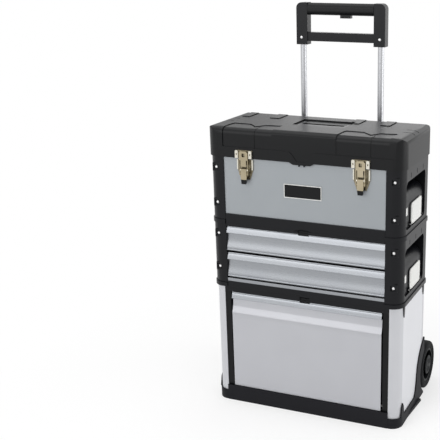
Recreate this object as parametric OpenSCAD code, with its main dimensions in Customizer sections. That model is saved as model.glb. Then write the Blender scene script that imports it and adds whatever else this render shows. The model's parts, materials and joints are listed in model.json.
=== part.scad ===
// Three-part trolley tool box: a lidded box and a two-drawer chest stacked on
// a wheeled base with a tilt-out bin and a telescopic handle.
// Millimetres, +Z up, +X to the viewer's right, the front faces -Y.
// Origin: middle of the base's flat underside.

/* [Body] */
// Width over the side frames
body_w = 500; // [460:5:540]
// Depth of the stacked modules
body_d = 215; // [200:5:235]
// Width of a side frame seen from the front
frame_w = 42; // [40:1:48]
// Radius of the vertical front corners
front_r = 30; // [20:1:34]
// Radius of the vertical rear corners
rear_r = 12; // [8:1:18]
// Wall of the moulded parts
shell_t = 2.4; // [2:0.2:3]
// Thickness of the sheet metal
sheet_t = 1.2; // [0.8:0.1:1.6]
// How far the foot of a module stands out past the one below
flare = 2.5; // [1.5:0.5:4]
// How deep a module sits over the one below
nest = 8; // [6:1:10]

/* [Lower module] */
// Height of the base's front rail
base_h = 42; // [36:1:50]
// Height of the bin front opening
bin_h = 260; // [230:5:290]
// Height of the black frame over the bin front
low_lip_h = 16; // [14:1:22]
// Setback of the posts behind the upper modules' front
post_back = 5; // [4:0.5:8]
// Corner radius of the front posts
post_r = 25; // [16:1:28]
// Width of a front post seen from the front
post_w = 28; // [26:1:32]
// Depth of the bin behind its front
bin_d = 146; // [120:2:150]

/* [Drawers] */
// Height of a drawer front
drawer_h = 63; // [56:1:80]
// Gap between the drawer fronts
drawer_gap = 6; // [4:1:10]
// Height of the bright strip under the drawers
strip_h = 8; // [6:1:12]
// Gap between the strip and the lower drawer
strip_gap = 4; // [3:1:6]
// Height of the rail under the strip
low_rail_h = 15; // [13:1:20]
// Height of the lip over the drawers
top_lip_h = 7; // [6:1:10]
// Length of a drawer tray
tray_d = 190; // [150:5:195]

/* [Top box] */
// Height of the rail under the front panel
top_rail_h = 26; // [22:1:32]
// Height of the front panel
panel_h = 143.7; // [125:0.1:170]
// Distance of each draw latch's middle from the side of the body
latch_in = 101; // [85:1:130]

/* [Lid] */
// Height of the lid
lid_h = 73; // [66:1:85]
// Overhang of the lid at the sides
lid_side = 3; // [2:0.5:5]
// Overhang of the lid at the front
lid_front = 4; // [4:0.5:6]
// Radius of the lid's upper edges
lid_edge_r = 16; // [12:1:20]
// Height of the rim band round the lid's foot
rim_h = 26; // [22:1:30]
// Width of the carry handle's recess
recess_w = 138; // [124:2:150]
// Length of the recess front to back
recess_d = 77; // [72:1:90]
// Depth of the finger well in the recess
recess_h = 20; // [18:1:24]
// Depth of the rest of the recess
recess_low = 3.5; // [3:0.5:5]

/* [Wheels] */
// Wheel radius
wheel_r = 64; // [58:1:68]
// Tyre width
wheel_w = 28; // [24:1:30]
// Axle radius
axle_r = 6; // [5:0.5:7]
// Axle behind the rear face of the body
axle_back = 42; // [40:1:50]

/* [Telescopic handle] */
// Half the spacing of the tubes
tube_x = 105; // [95:1:110]
// Tubes behind the rear face of the body
tube_back = 47.5; // [46:0.5:55]
// Radius of the sliding tubes
inner_r = 8; // [7:0.5:9]
// Radius of the fixed tubes
outer_r = 10; // [9.5:0.5:11.5]
// Height of the grip's top when drawn out
handle_z = 1008; // [980:2:1030]
// Travel of the handle
handle_travel = 360; // [300:5:370]
// Height of the handle's frame
grip_h = 105; // [96:1:114]
// Overall width of the handle
grip_w = 238; // [230:2:256]

/* [Fits] */
// Gap between pieces that only meet
gap = 0.3; // [0.2:0.05:0.4]
// Radial play of a shaft in its hole
fit = 0.05; // [0.03:0.01:0.08]

/* [Hidden] */
$fn = 64;
eps = 0.01;
big = 900;

// plan of the stacked modules
hw = body_w / 2;
yf = -body_d / 2;
yr = body_d / 2;
fx = hw - frame_w;
px = fx - gap;

// levels, from the floor up
z_bin0 = base_h;
z_bin1 = z_bin0 + bin_h;
z_m0 = z_bin1 + low_lip_h;
z_strip = z_m0 + low_rail_h;
z_d2 = z_strip + strip_h + strip_gap;
z_d1 = z_d2 + drawer_h + drawer_gap;
z_t0 = z_d1 + drawer_h + top_lip_h;
z_p0 = z_t0 + top_rail_h;
z_p1 = z_p0 + panel_h;
z_l0 = z_p1 + gap;
z_l1 = z_l0 + lid_h;

// lower module
lx = hw - shell_t - gap;
lyf = yf + post_back;
lyr = yr - shell_t - gap;
low_rear_r = 4;
rear_post_w = 24;
post_t = 1.6;
post_x = lx - post_w;
seam_f = lyf + post_r + 1;
seam_r = lyr - 16;
nest_in = 3.7;
floor_t = 4;
base_wall = 3;
base_side_h = 26;
bin_x = post_x - 19;
bin_face = lyf - 1.5;
pivot_y = lyf + 10.5;
pivot_z = z_bin0 + 10;
pivot_r = 3;
bin_sweep = bin_h - 24;

// wheels
ax_y = yr + axle_back;
ax_z = wheel_r + 0.5;
well_r = wheel_r + 7;
fender_r = wheel_r + 41.5;
wheel_x1 = hw + 1;
wheel_x0 = wheel_x1 - wheel_w;
well_x = wheel_x0 - 7;
cap_r = 25;

// telescopic handle
tube_y = yr + tube_back;
leg_z = handle_z - grip_h;
leg_w = 30;
leg_corner = 14;
leg_d = 26;
grip_bar_h = 31;
core_r = 8;
cross_h = 22;
cross_z = leg_z + 9;
outer_top = leg_z - handle_travel - 5;
outer_bot = 80;
outer_in = inner_r + 0.4;
inner_bot = outer_top - 58;
tube_seat = 22;
bracket_h = 24;
low_bracket_z = outer_bot - 6;
button_x = 12;
button_w = 28;
button_d = 14;
button_out = 7;

// lid
lid_x = hw + lid_side;
lid_yf = yf - lid_front;
lid_yr = yr + 2;
lid_rf = front_r + 2;
lid_rr = rear_r + 2;
lid_t = 3.6;
lid_cut = 1.2;
groove_d = 2.3;
groove_w = 3.4;
hinge_y = yr + 5;
hinge_z = z_p1 - 2.7;
hinge_x = hw - 100;
knuckle_r = 3.9;
hinge_pin_r = 2;
recess_x = 6.5;
recess_y = 19;
bail_t = 10;
bail_bar = 27;
bail_arm = 9;
bail_half = recess_w / 2 - 6;
bail_front = recess_y - recess_d / 2 + 3;
bail_y = recess_y + recess_d / 2 - 14.5;
bail_z = z_l1 - recess_low + 0.5 - bail_t / 2;
bail_pin_r = 3;
well_y1 = bail_front + bail_bar + 13;

// side windows and latches
win_y0 = yf + 25.5;
win_y1 = yr - 33.5;
win_x = hw - 34;
win_low = 22;
win_r = 12;
hood_r = 29;
hood_up = 57;
clasp_w = 84;
clasp_h = 50;
clasp_x = hw - 2;
clasp_y = 6;
clasp_corner = 9;
clasp_pin_r = 1.6;
clasp_r = 2.7;

// draw latches
draw_y = yf - 5;
draw_z = z_p1 - 28;
draw_pin_r = 1.5;
panel_y = yf + 2.5;
claw_dy = -2.2;
claw_dz = -9;
claw_r = 1.4;
base_half = 21;
keeper_h = 20;
latch_x = hw - latch_in;
ear_w = 8;

// centre catches
catch_w = 26;
catch_up = 3;
catch_t = 2.8;
catch_drop = 3;
catch_rise = 8;
scoop_w = 46;
scoop_h = 5.5;
rail_y = yf + 0.5;

// ---------- shared shapes ----------

// outline seen from above: front corners rf, rear corners rr
module plan2(xh, y0, y1, rf, rr) {
    translate([-xh + rf, y0]) square([2 * (xh - rf), y1 - y0]);
    translate([-xh, y0 + rf]) square([2 * xh, y1 - y0 - rf - rr]);
    translate([-xh + rr, y0 + rf]) square([2 * (xh - rr), y1 - y0 - rf]);
    for (s = [-1, 1]) {
        translate([s * (xh - rf), y0 + rf]) circle(rf);
        translate([s * (xh - rr), y1 - rr]) circle(rr);
    }
}

// the stacked modules' outline, grown by g
module body_plan(g) {
    plan2(hw + g, yf - g, yr + g, max(front_r + g, 1), max(rear_r + g, 1));
}

// the lower module's outline, grown by g
module low_plan(g) {
    plan2(lx + g, lyf - g, lyr + g, post_r + g, max(low_rear_r + g, 1));
}

// a box from two corners
module block(a, b) {
    translate(a) cube(b - a);
}

// children drawn in (y, z), carried along x
module along_x(x0, x1) {
    translate([x0, 0, 0]) rotate([90, 0, 90]) linear_extrude(x1 - x0) children();
}

// children drawn in (x, z), carried along y
module along_y(y0, y1) {
    translate([0, y1, 0]) rotate([90, 0, 0]) linear_extrude(y1 - y0) children();
}

// round bar along x
module rod_x(x0, x1, y, z, r) {
    translate([x0, y, z]) rotate([0, 90, 0]) cylinder(h = x1 - x0, r = r);
}

// round bar along y
module rod_y(y0, y1, x, z, r) {
    translate([x, y1, z]) rotate([90, 0, 0]) cylinder(h = y1 - y0, r = r);
}

// rectangle with four round corners, from two corners
module round_rect(a, b, r) {
    translate([a.x + r, a.y]) square([b.x - a.x - 2 * r, b.y - a.y]);
    translate([a.x, a.y + r]) square([b.x - a.x, b.y - a.y - 2 * r]);
    for (x = [a.x + r, b.x - r], y = [a.y + r, b.y - r]) translate([x, y]) circle(r);
}

// rectangle whose two upper corners are round
module arch_rect(a, b, r) {
    translate(a) square([b.x - a.x, b.y - a.y - r]);
    translate([a.x + r, a.y]) square([b.x - a.x - 2 * r, b.y - a.y]);
    for (x = [a.x + r, b.x - r]) translate([x, b.y - r]) circle(r);
}

module both() {
    children();
    mirror([1, 0, 0]) children();
}

// cylinder round the wheel axis, from x0 outwards
module wheel_round(r, x0, x1) {
    rod_x(x0, x1, ax_y, ax_z, r);
}

// ---------- lower module ----------

// seam cover with a pointed end, drawn in (y, z), from level z0 to its tip
module seam_tip(y, z0, tip_z, half_w) {
    up = tip_z - z0;
    polygon([[y - half_w, z0], [y - half_w * 0.6, z0 + up * 0.7], [y, tip_z],
        [y + half_w * 0.6, z0 + up * 0.7], [y + half_w, z0]]);
}

module base_moulding() color("#26282a") {
    lip_y = lyf - base_wall - 1;
    wall_x = lx + gap;
    foot_y0 = seam_f;
    foot_y1 = ax_y - fender_r + 20;
    heel_y = ax_y - fender_r;
    difference() {
        union() {
            linear_extrude(floor_t) low_plan(gap + base_wall);
            linear_extrude(base_side_h) difference() {
                low_plan(gap + base_wall);
                low_plan(gap);
            }
            // front rail: a thin lip in front of a lower step, so the bin can tip
            block([-post_x, lip_y, 0], [post_x, lip_y + 2, z_bin0]);
            block([-post_x, lip_y + 2 - eps, 0], [post_x, lyf + 10, z_bin0 - 6]);
            both() {
                along_x(wall_x, wall_x + base_wall) {
                    seam_tip(seam_f, base_side_h - 1, base_side_h + 35, 12);
                    polygon([[heel_y - 20, base_side_h - 1], [heel_y - 8, base_side_h + 16],
                        [heel_y, base_side_h + 46], [heel_y + 20, base_side_h + 46],
                        [heel_y + 20, base_side_h - 1]]);
                }
                linear_extrude(floor_t + 4) polygon([[wall_x, foot_y0],
                    [wall_x + base_wall + 7, foot_y1], [wall_x, foot_y1]]);
            }
        }
        both() wheel_round(fender_r + gap, well_x - shell_t - gap, big / 2);
        // hollow of the front rail, open below the bin
        block([-post_x + 3, lip_y + 4.4, floor_t], [post_x - 3, lyf + 7.6, z_bin0 - 8.4]);
    }
}

module lower_posts() color("#c9cacd") {
    both() difference() {
        translate([0, 0, floor_t]) linear_extrude(z_m0 - floor_t) intersection() {
            difference() {
                low_plan(0);
                low_plan(-post_t);
            }
            union() {
                translate([post_x, lyf - 1]) square([post_w + 1, post_r + 2 - gap]);
                translate([lx - rear_post_w, seam_r + gap]) square([rear_post_w + 6, 30]);
            }
        }
        wheel_round(fender_r + gap, well_x - shell_t - gap, big / 2);
    }
}

module lower_side_panels() color("#dcdde1") {
    both() difference() {
        block([lx - sheet_t, seam_f, floor_t], [lx, seam_r, z_m0]);
        wheel_round(fender_r + gap, well_x, big / 2);
    }
}

module lower_back_panel() color("#b4b7bb") {
    edge = lx - rear_post_w - gap;
    difference() {
        block([-edge, lyr - sheet_t, floor_t], [edge, lyr, z_m0]);
        both() wheel_round(well_r + shell_t + gap, well_x - shell_t - gap, big / 2);
    }
}

module lower_top_frame() color("#26282a") {
    rail_x = post_x - gap;
    difference() {
        union() {
            translate([0, 0, z_m0]) linear_extrude(nest - gap) low_plan(0);
            block([-rail_x, lyf + 1, z_bin1], [rail_x, lyf + 13, z_m0 + eps]);
            both() along_x(lx, lx + 2) {
                for (y = [seam_f, seam_r]) {
                    seam_tip(y, z_m0, z_m0 - 30, 6);
                    translate([y - 6, z_m0 - eps]) square([12, nest - gap + eps]);
                }
            }
        }
        // open frame: the bin module has no ceiling plate in the middle
        translate([0, 0, z_m0 - 1]) linear_extrude(nest + 2)
            plan2(lx - 26, lyf + 22, lyr - 16, 10, 10);
        catch_seat(lyf + 1, z_bin1);
    }
}

module door_surround() color("#1f2123") {
    in_x = bin_x + 3.5;
    out_x = post_x - gap;
    side_t = 2.5;
    difference() {
        both() {
            block([in_x, lyf + 1.6, z_bin0 - 6], [out_x, lyf + 4.4, z_bin1]);
            block([in_x, lyf + 4.4 - eps, z_bin0 - 6], [in_x + side_t, lyf + bin_d, z_bin1]);
            block([in_x, lyf + bin_d - 20, floor_t], [in_x + side_t, lyf + bin_d, z_bin0]);
        }
        both() rod_x(in_x - 1, in_x + side_t + 1, pivot_y, pivot_z, pivot_r + fit);
    }
}

module wheel_housings() color("#202224") {
    skin_x0 = lx - 1.3;
    skin_x1 = hw + 0.3;
    y1 = lyr + 5;
    arm_r = 17;
    both() difference() {
        union() {
            // outer skin between the side panel and the tyre
            intersection() {
                difference() {
                    wheel_round(fender_r, skin_x0, skin_x1);
                    wheel_round(well_r, skin_x0 - 1, skin_x1 + 1);
                }
                block([0, 0, 0], [big, y1, big]);
            }
            // well liner round the tyre
            intersection() {
                difference() {
                    wheel_round(well_r + shell_t, well_x - shell_t, skin_x1);
                    wheel_round(well_r, well_x, skin_x1 + 1);
                }
                block([0, 0, 0], [big, y1, big]);
            }
            // axle arm
            intersection() {
                union() {
                    wheel_round(arm_r, well_x - shell_t - 5, well_x);
                    block([well_x - shell_t - 5, ax_y - 50, ax_z - arm_r],
                        [well_x, ax_y, ax_z + arm_r]);
                }
                block([0, lyr + eps, 0], [big, big, big]);
            }
        }
        wheel_round(axle_r + fit, well_x - 20, skin_x1 + 1);
    }
}

module axle() color("#b9bcc0") {
    end_x = wheel_x1 - 5;
    rod_x(-end_x, end_x, ax_y, ax_z, axle_r);
    both() difference() {
        rod_x(well_x + gap, wheel_x0 - gap, ax_y, ax_z, axle_r + 5);
        rod_x(well_x, wheel_x0, ax_y, ax_z, axle_r - 1);
    }
}

module outer_tubes() color("#9ea1a5") {
    both() translate([tube_x, tube_y, outer_bot]) difference() {
        cylinder(h = outer_top - outer_bot, r = outer_r);
        translate([0, 0, -1]) cylinder(h = outer_top - outer_bot + 2, r = outer_in);
    }
}

module tube_brackets() color("#232527") {
    half = outer_r + 6;
    both() {
        for (z = [low_bracket_z, z_m0 - bracket_h - 10]) difference() {
            block([tube_x - half, lyr, z], [tube_x + half, tube_y + half, z + bracket_h]);
            translate([tube_x, tube_y, z == low_bracket_z ? outer_bot : z - 1])
                cylinder(h = bracket_h + 6, r = outer_r + fit);
        }
        // collar on the mouth of the fixed tube
        translate([tube_x, tube_y, outer_top - 12]) difference() {
            cylinder(h = 15, r = outer_r + 2.5);
            translate([0, 0, -1]) cylinder(h = 13, r = outer_r + fit);
            translate([0, 0, 5]) cylinder(h = 12, r = inner_r + fit);
        }
    }
}

module bin_pivot_pins() color("#b9bcc0") {
    both() {
        rod_x(bin_x - 6, bin_x + 3.5 + 2.5, pivot_y, pivot_z, pivot_r);
        rod_x(bin_x + 3.5 + 2.5, bin_x + 3.5 + 4, pivot_y, pivot_z, pivot_r + 2);
    }
}

// front profile of the bin in (y, z): proud strip, hollow grip, slope, flat panel
module bin_profile() {
    t = 2.2;
    y0 = bin_face;
    z1 = z_bin1 - 0.5;
    face = [[y0 + 1, z_bin0 + 0.5], [y0 + 1, z1 - 59], [y0 + 0.6, z1 - 57], [y0 + 6.5, z1 - 38],
        [y0 + 8, z1 - 34], [y0 + 8.6, z1 - 28], [y0 + 8, z1 - 21], [y0 + 5, z1 - 18],
        [y0 + 0.6, z1 - 16], [y0, z1 - 14.5], [y0, z1 - 1], [y0 + 0.8, z1]];
    polygon(concat(face, [for (i = [len(face) - 1 : -1 : 0]) face[i] + [t, 0]]));
}

module bin_front() color("#b9babf") {
    difference() {
        along_x(-bin_x, bin_x) bin_profile();
        catch_notch(bin_face, z_bin1);
    }
}

module bin_tray() color("#2b2d2f") {
    tray_x = bin_x - 3;
    wall = 2;
    y0 = bin_face + 11.2;
    y1 = pivot_y + bin_d - 3;
    z0 = z_bin0 + 2.5;
    difference() {
        union() {
            intersection() {
                block([-tray_x, y0, z0], [tray_x, y1, z_bin1 - 12]);
                rod_x(-tray_x, tray_x, pivot_y, pivot_z, bin_sweep);
            }
            // foot that joins the tray to the back of the front
            block([-tray_x, bin_face + 3.2, z0], [tray_x, y0 + eps, z_bin1 - 80]);
        }
        block([-tray_x + wall, y0 + wall - 8, z0 + wall], [tray_x - wall, y1 - wall, z_bin1]);
        rod_x(-tray_x - 1, tray_x + 1, pivot_y, pivot_z, pivot_r + fit);
    }
}

// sliding tab behind a rail's face at y, with its lip hanging below the rail's foot
// at z and forward to lip_y
module centre_catch(y, lip_y, z) {
    half = catch_w / 2;
    block([-half, lip_y, z - catch_drop], [half, y + catch_t, z]);
    block([-half, y + gap, z - eps], [half, y + catch_t, z + 3.5]);
    block([-half, y + catch_t - eps, z - catch_drop], [half, y + 2 * catch_t, z + catch_rise]);
}

// slot that the tab slides in
module catch_seat(y, z) {
    half = catch_w / 2 + gap;
    block([-half, y - 1, z - 1], [half, y + 2 * catch_t + gap, z + catch_rise + catch_up + gap]);
}

// notch that lets the tab's lip pass, in the upper edge at z of a front
module catch_notch(y, z) {
    half = catch_w / 2 + gap;
    block([-half, y - 5, z - catch_drop - gap], [half, y + 12, z + 1]);
}

module lower_catch() color("#17191a") {
    centre_catch(lyf + 1, bin_face + gap, z_bin1);
}

// ---------- wheels ----------

// half section of the tyre: x is the radius, y the place along the axle
module tyre_section() {
    r1 = wheel_r;
    r0 = wheel_r * 0.7;
    h = wheel_w;
    difference() {
        union() {
            translate([r0, 1.5]) square([r1 - r0 - 6, h - 3]);
            translate([r0, 6]) square([r1 - r0, h - 12]);
            for (y = [7, h - 7]) translate([r1 - 7, y]) circle(7);
            translate([r0, 0]) square([r1 - r0 - 9, h]);
        }
        for (y = [0, h]) translate([r1 - 12, y]) circle(1.4);
        translate([r0 - 1, h / 2 - 5]) square([3, 10]);
    }
}

module tyre(s) {
    color("#1c1d1f") translate([s > 0 ? wheel_x0 : -wheel_x0, ax_y, ax_z])
        rotate([0, s > 0 ? 90 : -90, 0]) rotate_extrude($fn = 96) tyre_section();
}

module wheel_hub(s) {
    r0 = wheel_r * 0.7;
    h = wheel_w;
    color("#55585c") translate([s > 0 ? wheel_x0 : -wheel_x0, ax_y, ax_z])
        rotate([0, s > 0 ? 90 : -90, 0]) difference() {
            rotate_extrude($fn = 96) difference() {
                union() {
                    translate([0, 1]) square([15, h - 3]);
                    translate([0, h / 2 - 3]) square([r0, 6]);
                    translate([r0 - 5, 2]) square([5 - fit, h - 4]);
                    translate([r0 - eps, h / 2 - 4.5]) square([2 - fit, 9]);
                }
                translate([-1, -1]) square([1 + axle_r + fit, h + 2]);
            }
            for (i = [0 : 5]) rotate([0, 0, i * 60 + 30]) translate([(r0 + 13) / 2, 0, 0])
                cylinder(h = h, r = 6.5);
        }
}

module hub_cap(s) {
    h = wheel_w;
    color("#3a3c3f") translate([s > 0 ? wheel_x0 : -wheel_x0, ax_y, ax_z])
        rotate([0, s > 0 ? 90 : -90, 0]) translate([0, 0, h - 2]) rotate_extrude() {
            square([cap_r, 2.2]);
            translate([0, 2.2 - eps]) square([cap_r * 0.9, 1.4]);
            translate([0, 3.6 - eps]) square([cap_r * 0.72, 0.8]);
        }
}

// ---------- telescopic handle ----------

module inner_tubes() color("#a9acb0") {
    top = leg_z + tube_seat - gap;
    both() translate([tube_x, tube_y, inner_bot]) difference() {
        cylinder(h = top - inner_bot, r = inner_r);
        translate([0, 0, -1]) cylinder(h = top - inner_bot + 2, r = inner_r - 1.2);
    }
}

module handle_frame() color("#26282a") {
    ox = grip_w / 2;
    ix = ox - leg_w;
    y0 = tube_y - leg_d / 2;
    y1 = tube_y + leg_d / 2;
    bar_z = handle_z - grip_bar_h / 2;
    difference() {
        union() {
            both() along_y(y0, y1) {
                translate([ix, leg_z]) square([leg_w, grip_h - leg_corner]);
                translate([ix, leg_z]) square([leg_w - leg_corner, grip_h]);
                translate([ox - leg_corner, handle_z - leg_corner]) circle(leg_corner);
            }
            block([-ix - eps, y0 + 3, cross_z], [ix + eps, y1 - 3, cross_z + cross_h]);
            rod_x(-ix - eps, ix + eps, tube_y, bar_z, core_r);
        }
        both() translate([tube_x, tube_y, leg_z - 1]) cylinder(h = tube_seat + 1, r = inner_r + fit);
        block([button_x - button_w / 2 - gap, tube_y - button_d / 2 - gap, bar_z - 20],
            [button_x + button_w / 2 + gap, tube_y + button_d / 2 + gap, bar_z - 4]);
    }
}

module handle_grip() color("#303234") {
    ix = grip_w / 2 - leg_w - gap;
    z0 = handle_z - grip_bar_h;
    d = leg_d + 2;
    difference() {
        along_x(-ix, ix) round_rect([tube_y - d / 2, z0], [tube_y + d / 2, handle_z - 1], 12);
        rod_x(-ix - 1, ix + 1, tube_y, handle_z - grip_bar_h / 2, core_r + gap);
        block([button_x - button_w / 2 - gap, tube_y - button_d / 2 - gap, z0 - 1],
            [button_x + button_w / 2 + gap, tube_y + button_d / 2 + gap, z0 + 9.5]);
    }
}

module handle_rivets() color("#e6e6e8") {
    both() for (s = [-1, 1]) {
        y = tube_y + s * leg_d / 2;
        rod_y(min(y, y + s * 1.6), max(y, y + s * 1.6), tube_x, leg_z + 18, 3.6);
    }
}

module handle_button() color("#1a1b1d") {
    z0 = handle_z - grip_bar_h;
    difference() {
        block([button_x - button_w / 2, tube_y - button_d / 2, z0 - button_out],
            [button_x + button_w / 2, tube_y + button_d / 2, z0 + 4.5]);
        for (i = [-4 : 4]) block([button_x + i * 3 - 0.6, tube_y - 20, z0 - button_out - 1],
            [button_x + i * 3 + 0.6, tube_y + 20, z0 - button_out + 0.8]);
    }
}

// ---------- side frames, shared by the middle and top modules ----------

module window2(z0, z1, g) {
    round_rect([win_y0 - g, z0 - g], [win_y1 + g, z1 + g], win_r + g);
}

// places of the rivets up a front post, as heights
function rivet_z(z0, z1) = [z0 + (z1 - z0) * 0.31, z0 + (z1 - z0) * 0.835];

// right-hand side frame from level z0 to z1; the window ends at win_top
module side_frame(z0, z1, win_top) {
    low = z0 + nest;
    w0 = z0 + win_low;
    rivets = rivet_z(z0, z1);
    hr = hood_r;
    difference() {
        union() {
            // outer wall
            translate([0, 0, low]) linear_extrude(z1 - low) intersection() {
                difference() {
                    body_plan(0);
                    body_plan(-shell_t);
                }
                translate([fx, yf - 1]) square([frame_w + 1, body_d + 2]);
            }
            // foot that stands out over the module below
            translate([0, 0, z0]) linear_extrude(nest + shell_t) intersection() {
                difference() {
                    body_plan(flare);
                    body_plan(flare - shell_t);
                }
                translate([fx, yf - 9]) square([frame_w + 9, body_d + 18]);
            }
            // ledge that rests on the module below
            translate([0, 0, low]) linear_extrude(shell_t) intersection() {
                difference() {
                    body_plan(flare);
                    body_plan(-14);
                }
                translate([fx, yf - 9]) square([frame_w + 9, body_d + 18]);
            }
            // inner wall and top
            block([fx, yf + shell_t - eps, low], [fx + shell_t, yr - shell_t + eps, z1]);
            translate([0, 0, z1 - shell_t]) linear_extrude(shell_t) intersection() {
                body_plan(0);
                translate([fx, yf - 1]) square([frame_w + 1, body_d + 2]);
            }
            // tub behind the window
            along_x(win_x - shell_t, hw - shell_t / 2) window2(w0, win_top, shell_t);
            // pads behind the rivet pockets
            for (z = rivets) block([fx + frame_w / 2 - 10, yf + shell_t - 1, z - 10],
                [fx + frame_w / 2 + 10, yf + 6, z + 10]);
        }
        difference() {
            along_x(win_x, big / 2) window2(w0, win_top, 0);
            // hood over the latch works: a quarter round on a box, hollow inside
            intersection() {
                union() {
                    block([win_x - 1, win_y0 - 1, w0 - 1], [win_x + hr, win_y1 + 1, w0 + hood_up]);
                    rod_y(win_y0 - 1, win_y1 + 1, win_x, w0 + hood_up, hr);
                }
                block([win_x - 1, win_y0 - 1, w0 - 1], [hw, win_y1 + 1, w0 + hood_up + hr]);
            }
            // lugs of the side clasp
            for (s = [-1, 1]) clasp_lug(s, w0);
        }
        // the hood is hollow and open towards the inside
        block([win_x - shell_t - 1, win_y0 + shell_t, w0 + shell_t],
            [win_x + hr - shell_t, win_y1 - shell_t, w0 + hood_up]);
        intersection() {
            rod_y(win_y0 + shell_t, win_y1 - shell_t, win_x, w0 + hood_up, hr - shell_t);
            block([win_x - shell_t - 1, win_y0, w0], [hw, win_y1, w0 + hood_up + hr]);
        }
        for (s = [-1, 1]) rod_y(lug_y(s) - 4, lug_y(s) + 4, clasp_x, w0 + 6, clasp_pin_r + fit);
        // three drip slots over the window
        for (i = [-1, 0, 1]) block([hw - 6, i * 50 + 2.5 - 1.5, win_top + 5],
            [hw + 2, i * 50 + 2.5 + 1.5, win_top + 5 + 12]);
        // rivet pockets
        for (z = rivets) block([fx + frame_w / 2 - 6.5, yf - 5, z - 6.5],
            [fx + frame_w / 2 + 6.5, yf + 3.2, z + 6.5]);
    }
}

// place of a clasp's lug, s = -1 for the front one
function lug_y(s) = clasp_y + s * (clasp_w / 2 + 3);

module clasp_lug(s, w0) {
    block([win_x + hood_r - 1, lug_y(s) - 2.5, w0 + 1], [clasp_x + 2.9, lug_y(s) + 2.5, w0 + 11]);
}

// plate that swings out on a pin at its foot
module clasp(z0) {
    w0 = z0 + win_low;
    zp = w0 + 6;
    half = clasp_w / 2;
    barrel = half - clasp_corner;
    translate([0, clasp_y, 0]) difference() {
        union() {
            along_x(clasp_x - 1.1, clasp_x + 1.1) round_rect([-half, zp], [half, zp + clasp_h],
                clasp_corner);
            rod_y(-barrel, barrel, clasp_x, zp, clasp_r);
            // pressed panel
            along_x(clasp_x + 1.1 - eps, clasp_x + 1.7) round_rect([-half + 8, zp + 8],
                [half - 8, zp + clasp_h - 7], 6);
        }
        rod_y(-half - 1, half + 1, clasp_x, zp, clasp_pin_r + fit);
    }
}

// pin of a side clasp, and the catch tab that stands on the window's front wall
module clasp_pin(z0) {
    half = clasp_w / 2 + 5.5;
    w0 = z0 + win_low;
    rod_y(clasp_y - half, clasp_y + half, clasp_x, w0 + 6, clasp_pin_r);
    block([clasp_x - 1.5, win_y0, w0 + 35], [clasp_x + 0.5, win_y0 + 16, w0 + 53]);
}

module front_rivets(z0, z1) {
    both() for (z = rivet_z(z0, z1)) rod_y(yf + 0.8, yf + 3.2, fx + frame_w / 2, z, 3.6);
}

// ---------- middle module ----------

mid_win = z_t0 - 25.5;
top_win = z_p1 - 31.7;

module middle_right_frame() color("#26282a") {
    side_frame(z_m0, z_t0, mid_win);
}

module middle_left_frame() color("#26282a") {
    mirror([1, 0, 0]) side_frame(z_m0, z_t0, mid_win);
}

// finger scoop in the foot of a front rail
module scoop(z0) {
    r = (scoop_w * scoop_w / 4 + scoop_h * scoop_h) / (2 * scoop_h);
    rod_y(yf - 20, yf + 9, 0, z0 + scoop_h - r, r);
}

module module_floor(z0, rail_h) {
    rail_d = 12;
    rail_t = 3;
    low = z0 + nest;
    top = z0 + rail_h;
    difference() {
        union() {
            block([-px, yf, z0], [px, yf + rail_t, top]);
            block([-px, yf, top - shell_t], [px, yf + rail_d, top]);
            block([-px, yf, low], [px, yr, low + shell_t]);
            block([-px, yr - shell_t - rail_t, low], [px, yr - shell_t, top]);
            block([-px, yr - shell_t, z0], [px, yr, low + eps]);
        }
        scoop(z0);
    }
}

module middle_floor() color("#232527") {
    module_floor(z_m0, low_rail_h);
}

module middle_top_rail() color("#26282a") {
    rail_d = 12;
    difference() {
        union() {
            translate([0, 0, z_t0]) linear_extrude(nest - gap) body_plan(-nest_in);
            block([-px, rail_y, z_t0 - top_lip_h], [px, yf + rail_d, z_t0]);
            block([-px, yr - rail_d, z_t0 - top_lip_h], [px, yr - shell_t, z_t0]);
            // roots of the rim in the two rails
            for (y = [yf + nest_in, yr - rail_d]) block([-px + 5, y, z_t0 - 1],
                [px - 5, y + rail_d - nest_in, z_t0 + 1]);
        }
        translate([0, 0, z_t0 + 3]) linear_extrude(nest) body_plan(-20);
        catch_seat(rail_y, z_t0 - top_lip_h);
    }
}

module middle_back_panel() color("#b4b7bb") {
    block([-px, yr - shell_t, z_m0 + nest + shell_t], [px, yr - shell_t + sheet_t, z_t0 - gap]);
}

module trim_strip() color("#e4e5e7") {
    y0 = yf + 0.8;
    difference() {
        block([-px, y0, z_strip + eps], [px, y0 + 10, z_strip + strip_h]);
        block([-px - 1, y0 + 2, z_strip - 1], [px + 1, y0 + 11, z_strip + strip_h - 1.6]);
    }
}

tray_x = fx - 9;
lip_out = fx - 3;

// channel that carries the side lip of a tray
module runner(z) {
    y0 = yf + 14;
    y1 = yr - 8;
    lip = z + drawer_h / 2;
    block([fx - 1.2, y0, lip - 6], [fx, y1, lip + 6]);
    for (k = [-1, 1]) block([tray_x + 1, y0, lip + k * (2.3 + gap) - 0.8],
        [fx - 1.2 + eps, y1, lip + k * (2.3 + gap) + 0.8]);
}

module drawer_runners() color("#8f9296") {
    both() {
        runner(z_d2);
        runner(z_d1);
    }
}

module middle_rivets() color("#e6e6e8") {
    front_rivets(z_m0, z_t0);
}

module middle_clasp_pins() color("#c9ccd0") {
    both() clasp_pin(z_m0);
}

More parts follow.
